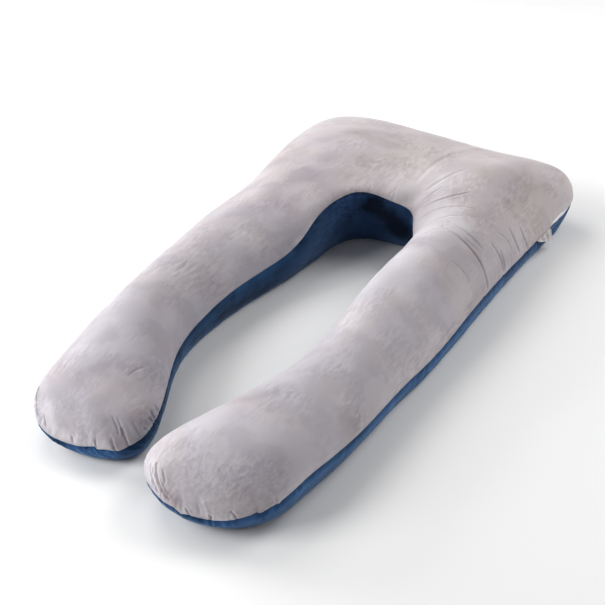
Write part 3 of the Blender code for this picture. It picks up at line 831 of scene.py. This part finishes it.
def make_navy_body(skin, normals):
    """Navy panel and stuffing: full size below the seam, a panel's thickness less above it."""
    deeper = (NAVY_DRAW - GREY_DRAW) * bell(skin.away, SEAM_DRAW_REACH)
    parting = zip_parting(skin.spots)
    deeper[skin.seam[:len(parting)]] *= 1 - np.clip(parting / TAPE_LEAST, 0, 1)
    outside = skin.points - normals * deeper[:, None]
    inside = skin.points - normals * (PANEL_THICKNESS + FIT_GAP + BODY_SINK)
    coarse = skin.top[::UNDERSIDE_STEP, ::UNDERSIDE_STEP]
    count = len(skin.points)
    faces = quads_of(skin.base[:, ::-1]) + quads_of(coarse + count)
    faces += loop_faces(loop_of(skin.top), loop_of(coarse) + count)
    return new_piece("navy_filled_body", np.vstack((outside, inside)), faces)


def make_grey_panel(skin, normals):
    """Grey panel: a fine outer face and a plainer underside, closed round its edge."""
    outside = skin.points.copy()
    lift = way_up(skin)[1:-1] * (zip_parting(skin.spots[1:-1])[:, None] + EDGE_GAP)
    for column in range(PARTED_COLUMNS):
        numbers = skin.top[1:-1, column]
        outside[numbers] += lift * bell(skin.away[numbers], ZIP_REACH)[:, None]
    inside = outside - normals * (PANEL_THICKNESS + PANEL_SINK)
    coarse = skin.top[::UNDERSIDE_STEP, ::UNDERSIDE_STEP]
    edge = loop_of(coarse)
    inside[edge] = outside[edge] - normals[edge] * PANEL_THICKNESS
    count = len(outside)
    upper = quads_of(skin.top)
    faces = upper + quads_of(coarse + count) + loop_faces(loop_of(skin.top), edge + count)
    panel = new_piece("grey_top_panel", np.vstack((outside, inside)), faces)
    press_creases(panel, len(upper), skin)
    return panel


def press_creases(panel, upper_faces, skin):
    """Cut the panel's upper side finer near its creases, and press them in."""
    paths = [crease_path(crease, skin) for crease in CREASES]
    narrow = [path for crease, path in zip(CREASES, paths) if crease.width <= NARROW_CREASE]
    tree = nearest_finder(np.vstack(narrow))
    shape = bmesh.new()
    shape.from_mesh(panel.data)
    is_upper = shape.faces.layers.int.new("upper")
    shape.faces.ensure_lookup_table()
    for face in shape.faces[:upper_faces]:
        face[is_upper] = 1
    for zone in CREASE_ZONES:
        near = {vert for vert in shape.verts if tree.find(vert.co)[2] < zone}
        edges = [
            edge for edge in shape.edges
            if edge.verts[0] in near and edge.verts[1] in near
            and all(face[is_upper] for face in edge.link_faces)
        ]
        bmesh.ops.subdivide_edges(shape, edges=edges, cuts=1, use_grid_fill=True)
    verts = [vert for vert in shape.verts if any(face[is_upper] for face in vert.link_faces)]
    depths = crease_depths(np.array([vert.co for vert in verts]), paths)
    moves = []
    for vert, depth in zip(verts, depths):
        upper = [face for face in vert.link_faces if face[is_upper]]
        out = sum((face.normal * face.calc_area() for face in upper), Vector())
        moves.append(out.normalized() * depth)
    for vert, move in zip(verts, moves):
        vert.co -= move
    shape.faces.layers.int.remove(is_upper)
    shape.to_mesh(panel.data)
    shape.free()
    panel.data.shade_smooth()


# ---- Zip tape and tab ----------------------------------------------------------------------------
TAPE_LEAST = 1.2 * MM         # the tape runs where the panels part by more than this
TAPE_THICKNESS = 1.2 * MM
TAPE_SINK = 1.6 * MM          # its face lies this far inside the panels' edges
TAPE_BULGE = 0.6 * MM         # less in its middle
TAPE_TUCK = 2.0 * MM          # it runs on behind each edge by this much
TAPE_COLUMNS = 8

TAB_START, TAB_END = 10.14, 10.47     # rail position, in rows
TAB_THICKNESS = 1.2 * MM
TAB_LONG_SIDE = 40.0 * MM
TAB_SHORT_SIDE = 5.0 * MM
TAB_BEND = 8.0 * MM           # it leaves the seam level and has turned down by here
TAB_LEAN = math.radians(79)
TAB_FOLDS = 3
TAB_FOLDS_LOW = 0.7           # below 1: they are deepest above the middle of the tab
TAB_FOLD_HEIGHT = 3.6 * MM
TAB_COLUMNS, TAB_ROWS, TAB_STEPS = 57, 33, 40
SHARP_EDGE = math.radians(50)


def give_thickness(piece, thickness):
    """Turn a single layer of cloth into one with two faces and an edge."""
    solidify = piece.modifiers.new("thickness", "SOLIDIFY")
    solidify.thickness = thickness
    solidify.offset = 0
    solidify.use_even_offset = True
    bpy.ops.object.select_all(action="DESELECT")
    piece.select_set(True)
    bpy.context.view_layer.objects.active = piece
    bpy.ops.object.modifier_apply(modifier=solidify.name)
    piece.data.shade_smooth()
    piece.data.set_sharp_from_angle(angle=SHARP_EDGE)


def make_zip_tape(skin, normals):
    """Zip tape in the gap where the two panels part."""
    parting, climb = zip_parting(skin.spots), way_up(skin)
    bulge = TAPE_BULGE * np.sin(np.linspace(0, np.pi, TAPE_COLUMNS))
    rows = []
    for rung in np.nonzero(parting > TAPE_LEAST)[0]:
        foot, out = skin.points[skin.top[rung, 0]], normals[skin.top[rung, 0]]
        heights = np.linspace(-TAPE_TUCK, parting[rung] + TAPE_TUCK, TAPE_COLUMNS)
        rows.append(foot + climb[rung] * heights[:, None] - out * (TAPE_SINK - bulge)[:, None])
    grid = np.arange(len(rows) * TAPE_COLUMNS).reshape(-1, TAPE_COLUMNS)
    tape = new_piece("white_zip_tape", np.reshape(rows, (-1, 3)), quads_of(grid))
    give_thickness(tape, TAPE_THICKNESS)
    return tape


def tab_drop(length):
    """How far out and how far down a strip is after this length: it leaves level, then turns."""
    walked = np.arange(TAB_STEPS) / TAB_STEPS * length
    slope = TAB_LEAN * np.clip(walked / TAB_BEND, 0, 1)
    return np.mean(np.cos(slope)) * length, np.mean(np.sin(slope)) * length


def make_tab(shift):
    """Cloth tab: a tapered flap that hangs from the seam over the navy side, in soft folds."""
    seam = outer_rail(np.linspace(TAB_END, TAB_START, TAB_COLUMNS))[:, :3] + shift
    along = np.gradient(seam, axis=0)
    away = np.column_stack((-along[:, 1], along[:, 0], np.zeros(TAB_COLUMNS)))
    away /= np.linalg.norm(away, axis=1)[:, None]
    away *= np.sign(away[:, :1])
    points = []
    for column, (root, out) in enumerate(zip(seam, away)):
        share = column / (TAB_COLUMNS - 1)
        side = TAB_SHORT_SIDE + (TAB_LONG_SIDE - TAB_SHORT_SIDE) * share
        ripple = TAB_FOLD_HEIGHT * math.sin(2 * math.pi * TAB_FOLDS * share)
        for row in range(TAB_ROWS):
            length = side * row / (TAB_ROWS - 1)
            reach, drop = tab_drop(length)
            reach += ripple * math.sin(math.pi * (length / side) ** TAB_FOLDS_LOW) - GREY_DRAW
            points.append(root + out * reach - np.array((0, 0, drop)))
    grid = np.arange(TAB_COLUMNS * TAB_ROWS).reshape(TAB_COLUMNS, TAB_ROWS)
    tab = new_piece("pale_seam_tab", points, quads_of(grid))
    give_thickness(tab, TAB_THICKNESS)
    return tab


# ---- How the pile lies, and painted light and shade ----------------------------------------------
# Broad strokes painted lighter or darker into the grey (top) and the navy (base) side: partly the
# pile's own lie, partly painted light and painted shade. A stroke runs between two places. width
# in millimetres. tone: above 0 it is painted light.
STROKE = "row1 across1 row2 across2 width tone name"
PILE_AND_PAINTED_LIGHT_STROKES = {
    "top": table(STROKE, (
        # Grey side: painted light on crests, edges and lit sides, painted shade in folds, hollows and
        # over the head, with some of the pile's own lie.
        ( 6.12, 0.55,  6.31, 0.65, 42, -0.22, "head, left"),
        ( 6.73, 0.62,  7.24, 0.66, 50, -0.32, "head, left of middle"),
        ( 7.16, 0.46,  7.54, 0.43, 28, -0.26, "head, middle"),
        ( 6.33, 0.25,  6.38, 0.30, 22, -0.26, "left corner, edge"),
        ( 5.60, 0.52,  6.50, 0.64, 39, -0.19, "left corner"),
        ( 5.21, 0.56,  5.60, 0.66, 34, -0.18, "left shoulder"),
        ( 4.65, 0.36,  5.42, 0.41, 22,  0.22, "left shoulder, light"),
        ( 3.90, 0.75,  4.39, 0.70, 39,  0.26, "left waist, light"),
        ( 5.25, 1.00,  5.84, 1.00, 14,  0.42, "left of the curve"),
        ( 4.84, 1.00,  5.25, 1.00, 14,  0.22, "left of the curve, low"),
        ( 8.26, 0.89,  8.65, 0.93, 20,  0.61, "curve, light"),
        ( 8.24, 0.68,  8.31, 0.61, 22,  0.32, "curve, light above"),
        ( 6.78, 0.92,  7.44, 0.92, 14,  0.22, "curve, light left"),
        ( 9.59, 0.89,  9.64, 0.80, 17, -0.24, "curve, dark"),
        (11.44, 0.66, 11.20, 0.50, 28,  0.46, "shoulder, light"),
        (11.89, 0.54, 11.83, 0.52, 22,  0.19, "shoulder, light low"),
        (10.38, 0.36, 10.51, 0.33, 17, -0.22, "shoulder, dark"),
        (11.03, 0.09, 12.06, 0.06, 20, -0.21, "side, dark"),
        ( 9.37, 0.33,  9.49, 0.22, 34,  0.24, "corner, light"),
        ( 8.46, 0.48,  9.20, 0.43, 25,  0.13, "head, right of middle"),
        ( 8.04, 0.31,  8.77, 0.33, 11, -0.22, "head's back edge"),
        (12.10, 0.66, 12.75, 0.78, 36,  0.36, "right waist, light"),
        (12.99, 0.78, 13.60, 0.72, 28,  0.22, "right middle, light"),
        (13.07, 0.42, 13.14, 0.32, 22, -0.19, "right middle, dark"),
        ( 2.59, 0.26,  2.80, 0.45, 28, -0.21, "left hollow, dark"),
        ( 0.87, 0.45,  1.25, 0.54, 31, -0.21, "left forearm, dark"),
        ( 1.37, 0.30,  1.98, 0.42, 20,  0.22, "left forearm, edge"),
        ( 2.76, 0.77,  2.59, 0.78, 22,  0.19, "left hollow, light"),
        ( 0.16, 0.70,  0.04, 0.90, 17, -0.46, "left end, dark"),
        ( 0.42, 0.78,  0.87, 0.91, 28, -0.30, "left end, dark inside"),
        (-0.24, 0.33, -0.68, 0.46, 17,  0.54, "left end, edge"),
        (-0.72, 0.69, -0.55, 0.81, 14,  0.54, "left end, rim"),
        (-0.35, 0.90, -0.19, 0.94, 14,  0.19, "left end, front"),
        (16.63, 0.76, 16.19, 0.62, 28,  0.18, "right end, light"),
        (17.10, 0.80, 17.29, 0.79, 17,  0.29, "right end, edge"),
        (17.21, 0.69, 17.36, 0.67, 11, -0.27, "right end, dark fold"),
        (17.67, 0.81, 17.73, 0.67, 14, -0.38, "right end, dark rim"),
        (17.00, 0.29, 17.03, 0.26, 14, -0.22, "right end, dark spot"),
        (17.52, 0.38, 17.67, 0.19, 11,  0.32, "right end, light fold"),
        (17.65, 0.02, 17.50, 0.00, 11,  0.51, "right end, rim"),
        (15.53, 0.65, 15.09, 0.53, 22, -0.22, "right swell, dark"),
        (15.64, 0.50, 15.53, 0.46, 22, -0.14, "right swell, dark inside"),
        (14.75, 0.32, 14.94, 0.30, 28,  0.16, "right forearm, light"),
        (16.67, 0.28, 16.41, 0.23, 39, -0.13, "right end, dull"),
        ( 6.19, 0.35,  6.08, 0.61, 46, -0.26, "head, back left"),
        ( 6.82, 0.50,  7.60, 0.50, 50, -0.24, "head, back middle"),
        ( 8.24, 0.81,  9.52, 0.59, 38,  0.40, "shoulder crest, light"),
        (11.30, 0.77, 10.70, 0.60, 38,  0.42, "shoulder top, light"),
        (12.80, 0.50, 12.06, 0.60, 38,  0.46, "waist crest, light"),
        (13.92, 0.64, 13.33, 0.58, 34,  0.24, "waist, light low"),
        ( 0.58, 0.61,  1.00, 0.62, 28, -0.26, "left forearm, outer dark"),
        (12.11, 0.02, 12.60, 0.06, 25, -0.19, "side, dull"),
        (14.56, 0.08, 14.98, 0.12, 28, -0.18, "right middle, dull"),
    )),
    "base": table(STROKE, (
        # Navy side: painted shade on the inner head wall and at the walls' feet, painted light on the
        # arm ends' fronts and the right arm's side.
        ( 7.57, 0.91,  8.36, 0.79, 39, -0.55, "head wall"),
        ( 3.68, 0.77,  5.94, 0.64, 14, -0.28, "left wall, foot"),
        ( 2.96, 0.82,  3.68, 0.77, 11, -0.22, "left wall, low foot"),
        ( 3.94, 0.98,  4.96, 0.96, 14,  0.32, "left wall, top"),
        ( 1.71, 0.96,  0.91, 0.88, 17, -0.30, "left end, inside"),
        (-0.60, 0.80, -0.10, 0.93, 19,  0.56, "left end, front"),
        (17.63, 0.12, 17.24, 0.07, 19,  0.60, "right end, front"),
        (17.18, 0.05, 16.16, 0.09, 16,  0.30, "right end, side"),
        (16.12, 0.11, 11.31, 0.14, 15,  0.40, "right arm, side"),
    )),
}
STROKE_STEPS = 3              # points of a stroke's path in each width of it
STROKE_REACH = 2.5            # widths to either side that a stroke is worked out for


def mark_pile_and_painted_light(piece, skin, side):
    """Write at each point of a piece how light or dark its strokes make it: partly the pile's own lie,
    partly painted light and painted shade.
    """
    points = np.array([vert.co for vert in piece.data.vertices])
    tones = np.zeros(len(points))
    for stroke in PILE_AND_PAINTED_LIGHT_STROKES[side]:
        start, end = (stroke.row1, stroke.across1), (stroke.row2, stroke.across2)
        middle = ((stroke.row1 + stroke.row2) / 2, (stroke.across1 + stroke.across2) / 2)
        width = stroke.width * MM
        path = surface_path(skin, side, (start, middle, end), width / STROKE_STEPS)
        near, _, apart = near_path(points, path, STROKE_REACH * width)
        tones[near] += stroke.tone * bell(apart, width)
    # The pile attribute holds painted light and painted shade along with the pile's own lie.
    piece.data.attributes.new("pile", "FLOAT", "POINT").data.foreach_set("value", tones)


# ---- Materials -----------------------------------------------------------------------------------
# Each velvet's two hues, with its dark nap and its light nap in each.
GREY_TONES = (
    ((0.300, 0.273, 0.309), (0.588, 0.562, 0.600)),
    ((0.332, 0.277, 0.282), (0.624, 0.566, 0.566)),
)
NAVY_TONES = (
    ((0.001, 0.004, 0.013), (0.036, 0.112, 0.262)),
    ((0.002, 0.005, 0.015), (0.046, 0.106, 0.270)),
)
STREAK_LENGTH = 0.30          # a brushed streak is as wide as this share of its length


def with_alpha(colour):
    return (*colour, 1) if isinstance(colour, tuple) else colour


class Wiring:
    """Nodes of one material or node group. Most ways of adding one give back its output."""

    def __init__(self, tree):
        self.tree, self.nodes, self.links = tree, tree.nodes, tree.links

    def give(self, socket, given):
        """Set a socket to a fixed value, or join another node's output to it."""
        if isinstance(given, bpy.types.NodeSocket):
            self.links.new(given, socket)
        else:
            socket.default_value = given

    def feed(self, node, **inputs):
        """Give a node its inputs, by their names, with _ for a space."""
        for name, given in inputs.items():
            self.give(node.inputs[name.replace("_", " ")], given)

    def math(self, operation, first, second):
        node = self.nodes.new("ShaderNodeMath")
        node.operation = operation
        for socket, given in zip(node.inputs, (first, second)):
            self.give(socket, given)
        return node.outputs["Value"]

    def times(self, first, second):
        return self.math("MULTIPLY", first, second)

    def plus(self, first, second):
        return self.math("ADD", first, second)

    def noise(self, place, scale, detail, roughness=0.5, distortion=0.0):
        texture = self.nodes.new("ShaderNodeTexNoise")
        self.feed(texture, Vector=place, Scale=scale, Detail=detail,
                  Roughness=roughness, Distortion=distortion)
        return texture.outputs["Fac"]

    def brushed_noise(self, place, turn, scale):
        """Fine streaks that all lie along one direction, as a hand leaves them in a pile."""
        mapping = self.nodes.new("ShaderNodeMapping")
        self.feed(mapping, Vector=place, Rotation=turn, Scale=(1, STREAK_LENGTH, 1))
        return self.noise(mapping.outputs["Vector"], scale, detail=3, roughness=0.6, distortion=0.5)

    def spread(self, value, part, over):
        """The part of a value, from low to high, spread over another range with soft ends."""
        ranger = self.nodes.new("ShaderNodeMapRange")
        ranger.interpolation_type = "SMOOTHSTEP"
        self.feed(ranger, Value=value, From_Min=part[0], From_Max=part[1],
                  To_Min=over[0], To_Max=over[1])
        return ranger.outputs["Result"]

    def mixed(self, factor, first, second):
        """Two colours mixed. Each is a fixed colour or comes from another node."""
        mix = self.nodes.new("ShaderNodeMix")
        mix.data_type = "RGBA"
        self.feed(mix, Factor=factor, A=with_alpha(first), B=with_alpha(second))
        return mix.outputs["Result"]

    def group(self, tree, **inputs):
        """A node group, laid over the piece by the piece's own coordinates."""
        node = self.nodes.new("ShaderNodeGroup")
        node.node_tree = tree
        self.feed(node, Place=self.nodes.new("ShaderNodeTexCoord").outputs["Object"], **inputs)
        return node.outputs

    def raised(self, shader, height, distance, strength):
        """Let a height stand out of the shader's surface."""
        bump = self.nodes.new("ShaderNodeBump")
        self.feed(bump, Distance=distance, Strength=strength, Height=height)
        self.feed(shader, Normal=bump.outputs["Normal"])


def new_group(name, amounts, results):
    """A node group that takes a Place and some amounts, and gives results, all by name."""
    group = bpy.data.node_groups.new(name, "ShaderNodeTree")
    group.interface.new_socket("Place", in_out="INPUT", socket_type="NodeSocketVector")
    for title, amount in amounts.items():
        socket = group.interface.new_socket(title, in_out="INPUT", socket_type="NodeSocketFloat")
        socket.default_value = amount
    for title in results:
        group.interface.new_socket(title, in_out="OUTPUT", socket_type="NodeSocketFloat")
    given, result = group.nodes.new("NodeGroupInput"), group.nodes.new("NodeGroupOutput")
    return Wiring(group), given.outputs, result


def velvet_nap_group():
    """How a velvet's pile lies, with the painted light and painted shade of the strokes. Nap is 0
    where it lies dark, 1 where light and Plain where nothing has touched it; Strokes add painted light
    and painted shade to it, with some of the pile's own lie; Drift is a slow change of its hue,
    stronger towards the head; Height is the pile's own roughness."""
    amounts = {"Clouds": 0.6, "Marks": 0.4, "Strokes": 0.0, "Plain": 0.5}
    wiring, given, result = new_group("velvet_nap", amounts, ("Nap", "Drift", "Height"))
    place, times, plus, spread = given["Place"], wiring.times, wiring.plus, wiring.spread

    def cloud(scale, detail, distortion, part, over):
        """Soft noise, of which one part is spread over a range."""
        return spread(wiring.noise(place, scale, detail, distortion=distortion), part, over)

    clouds = cloud(scale=4.5, detail=2, distortion=0.2, part=(0.30, 0.70), over=(-0.35, 0.35))
    touched = cloud(scale=8.0, detail=2, distortion=0.3, part=(0.42, 0.64), over=(0.0, 1.0))
    chosen = cloud(scale=9.0, detail=1, distortion=0.0, part=(0.47, 0.53), over=(0.0, 1.0))
    one_way = wiring.brushed_noise(place, turn=(0.3, 0.2, 0.9), scale=110.0)
    other_way = wiring.brushed_noise(place, turn=(-0.2, 0.4, -0.5), scale=130.0)
    streaks = plus(times(one_way, chosen), times(other_way, wiring.math("SUBTRACT", 1.0, chosen)))
    brushed = times(spread(streaks, part=(0.38, 0.64), over=(-0.5, 0.5)), touched)
    patch = plus(wiring.noise(place, scale=13.0, detail=2, distortion=0.3), times(streaks, 0.30))
    patches = spread(patch, part=(0.56, 0.74), over=(-0.30, 0.30))
    soft = times(plus(clouds, patches), given["Clouds"])
    # The strokes: painted light and painted shade, with some of the pile's own lie, on the plain tone.
    laid = plus(given["Strokes"], given["Plain"])
    nap = plus(plus(soft, times(brushed, given["Marks"])), laid)

    along = wiring.nodes.new("ShaderNodeSeparateXYZ")
    wiring.feed(along, Vector=place)
    to_head = spread(along.outputs["Y"], part=(-0.30, 0.75), over=(0.0, 0.75))
    waver = cloud(scale=7.0, detail=2, distortion=0.4, part=(0.38, 0.62), over=(-0.1, 0.4))

    fuzz = wiring.noise(place, scale=260.0, detail=3, roughness=0.6)
    pile = wiring.noise(place, scale=1500.0, detail=1)
    height = plus(times(pile, 0.4), plus(fuzz, times(brushed, 0.2)))
    wiring.feed(result, Nap=nap, Drift=plus(waver, to_head), Height=height)
    return wiring.tree


def weave_group():
    """Threads of a plain weave. Thread is 1 on top of a thread and 0 between threads."""
    wiring, given, result = new_group("plain_weave", {"Threads": 1200.0}, ("Thread",))
    waves = []
    for direction in ("Y", "Z"):
        wave = wiring.nodes.new("ShaderNodeTexWave")
        wave.wave_type = "BANDS"
        wave.bands_direction = direction
        wiring.feed(wave, Vector=given["Place"], Scale=given["Threads"], Distortion=0.6, Detail=1)
        waves.append(wave.outputs["Fac"])
    wiring.feed(result, Thread=wiring.math("MAXIMUM", *waves))
    return wiring.tree


def cloth_material(name, roughness, sheen, sheen_roughness, sheen_tint):
    """A matt cloth, with its wiring and its shader."""
    material = bpy.data.materials.new(name)
    material.use_nodes = True
    wiring = Wiring(material.node_tree)
    shader = wiring.nodes["Principled BSDF"]
    wiring.feed(shader, Roughness=roughness, Specular_IOR_Level=0.08, Sheen_Weight=sheen,
                Sheen_Roughness=sheen_roughness, Sheen_Tint=with_alpha(sheen_tint))
    return material, wiring, shader


def velvet(name, nap_group, tones, plain, clouds, marks, sheen, sheen_tint):
    """A velvet. plain: how light its untouched pile lies, from the dark to the light tones."""
    material, wiring, shader = cloth_material(
        name, roughness=0.75, sheen=sheen, sheen_roughness=0.4, sheen_tint=sheen_tint)
    # The pile attribute: painted light and painted shade from the strokes, with some of the pile's own
    # lie.
    pile = wiring.nodes.new("ShaderNodeAttribute")
    pile.attribute_name = "pile"
    nap = wiring.group(nap_group, Plain=plain, Clouds=clouds, Marks=marks, Strokes=pile.outputs["Fac"])
    one_hue, other_hue = (wiring.mixed(nap["Nap"], *pair) for pair in tones)
    colour = wiring.mixed(nap["Drift"], one_hue, other_hue)
    rough = wiring.spread(nap["Nap"], part=(0.0, 1.0), over=(0.85, 0.65))
    wiring.feed(shader, Base_Color=colour, Roughness=rough)
    wiring.raised(shader, nap["Height"], distance=0.6 * MM, strength=0.5)
    return material


def woven(name, weave, dark, light, threads):
    """A plain woven cloth. dark: painted shade between the threads; light: the threads' own colour on
    top of them.
    """
    material, wiring, shader = cloth_material(
        name, roughness=0.7, sheen=0.15, sheen_roughness=0.5, sheen_tint=(1, 1, 1))
    thread = wiring.group(weave, Threads=threads)["Thread"]
    # Painted shade between the threads, darker than the threads' own colour.
    wiring.feed(shader, Base_Color=wiring.mixed(thread, dark, light))
    wiring.raised(shader, thread, distance=0.2 * MM, strength=0.6)
    return material


# ---- Camera, light and floor ---------------------------------------------------------------------
# The camera looks at its target from the front right. Its turn is counted from -Y towards +X.
CAMERA_TURN = math.radians(32.52)
CAMERA_RISE = math.radians(34.11)
CAMERA_ROLL = math.radians(-2.22)
CAMERA_TARGET = (0.0036, 0.6499, 0.080)       # where the table of sections lies
CAMERA_DISTANCE = 2.531
CAMERA_LENS = 64.8            # in millimetres, as is its sensor
CAMERA_SENSOR = 36

# turn: degrees round the pillow from +X. rise: degrees above the floor.
LIGHTS = table("turn rise size power name", (
    ( 180, 16, 2.2, 152, "left"),
    (-130, 30, 2.2, 124, "front left"),
    ( 150, 50, 2.2,  53, "back left"),
    (  55, 45, 2.2,  66, "back right"),
    (  30, 15, 2.2,  43, "right"),
))
LIGHT_DISTANCE = 4.3
FLOOR_SIZE = 30


def add_camera(shift):
    data = bpy.data.cameras.new("camera")
    data.lens = CAMERA_LENS
    data.sensor_width = CAMERA_SENSOR
    camera = bpy.data.objects.new("camera", data)
    bpy.context.scene.collection.objects.link(camera)
    away = Vector((math.sin(CAMERA_TURN) * math.cos(CAMERA_RISE),
                   -math.cos(CAMERA_TURN) * math.cos(CAMERA_RISE), math.sin(CAMERA_RISE)))
    target = Vector(CAMERA_TARGET) + Vector(shift)
    right = Vector((math.cos(CAMERA_TURN), math.sin(CAMERA_TURN), 0))
    up = away.cross(right)
    rolled_right = right * math.cos(CAMERA_ROLL) + up * math.sin(CAMERA_ROLL)
    rolled_up = up * math.cos(CAMERA_ROLL) - right * math.sin(CAMERA_ROLL)
    turned = Matrix((rolled_right, rolled_up, away)).transposed()
    camera.matrix_world = Matrix.Translation(target + away * CAMERA_DISTANCE) @ turned.to_4x4()
    bpy.context.scene.camera = camera


def add_light(light):
    """A square soft light that looks at the middle of the pillow."""
    data = bpy.data.lights.new(light.name, "AREA")
    data.size = light.size
    data.energy = light.power
    lamp = bpy.data.objects.new(light.name, data)
    bpy.context.scene.collection.objects.link(lamp)
    turn, rise = math.radians(light.turn), math.radians(light.rise)
    away = Vector((math.cos(turn) * math.cos(rise), math.sin(turn) * math.cos(rise), math.sin(rise)))
    lamp.location = away * LIGHT_DISTANCE
    lamp.rotation_euler = (-away).to_track_quat("-Z", "Y").to_euler()


def add_floor():
    """A level floor that isn't part of the object."""
    bpy.ops.object.select_all(action="DESELECT")
    bpy.ops.mesh.primitive_plane_add(size=FLOOR_SIZE, location=(0, 0, 0))
    floor = bpy.context.active_object
    floor.name = "floor"
    material = bpy.data.materials.new("pale_floor")
    material.use_nodes = True
    shader = material.node_tree.nodes["Principled BSDF"]
    shader.inputs["Base Color"].default_value = (0.95, 0.95, 0.95, 1)
    shader.inputs["Roughness"].default_value = 0.9
    floor.data.materials.append(material)


def add_studio():
    add_floor()
    world = bpy.data.worlds.new("studio")
    world.use_nodes = True
    background = world.node_tree.nodes["Background"]
    background.inputs["Color"].default_value = (1, 1, 1, 1)
    background.inputs["Strength"].default_value = 0.16
    bpy.context.scene.world = world
    bpy.context.scene.view_settings.view_transform = "Standard"     # a white floor stays white
    for light in LIGHTS:
        add_light(light)


# ---- Building ------------------------------------------------------------------------------------

def dress(piece, node, material):
    """Give a piece its material, and let it stand for its node."""
    piece.data.materials.clear()
    piece.data.materials.append(material)
    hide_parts(node)
    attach(piece, "root")


def build():
    skin, shift = sewn_skin()
    normals = skin.normals()
    nap, weave = velvet_nap_group(), weave_group()
    grey = velvet("grey_velvet", nap, GREY_TONES, plain=0.50, clouds=0.26, marks=0.27,
                  sheen=0.35, sheen_tint=(1, 0.97, 0.99))
    navy = velvet("navy_velvet", nap, NAVY_TONES, plain=0.38, clouds=0.22, marks=0.22,
                  sheen=0.45, sheen_tint=(0.40, 0.62, 1.0))
    white = woven("white_zip_tape", weave, dark=(0.70, 0.70, 0.72), light=(0.88, 0.88, 0.90),
                  threads=1500.0)
    pale = woven("pale_tab_cloth", weave, dark=(0.52, 0.49, 0.49), light=(0.65, 0.62, 0.61),
                 threads=1100.0)

    body = make_navy_body(skin, normals)
    panel = make_grey_panel(skin, normals)
    tape = make_zip_tape(skin, normals)
    tab = make_tab(shift)
    mark_pile_and_painted_light(body, skin, "base")
    mark_pile_and_painted_light(panel, skin, "top")
    dress(body, "filled_body", navy)
    dress(panel, "top_panel", grey)
    dress(tape, "zip_tape", white)
    dress(tab, "seam_tab", pale)
    add_camera(shift)
    add_studio()


build()
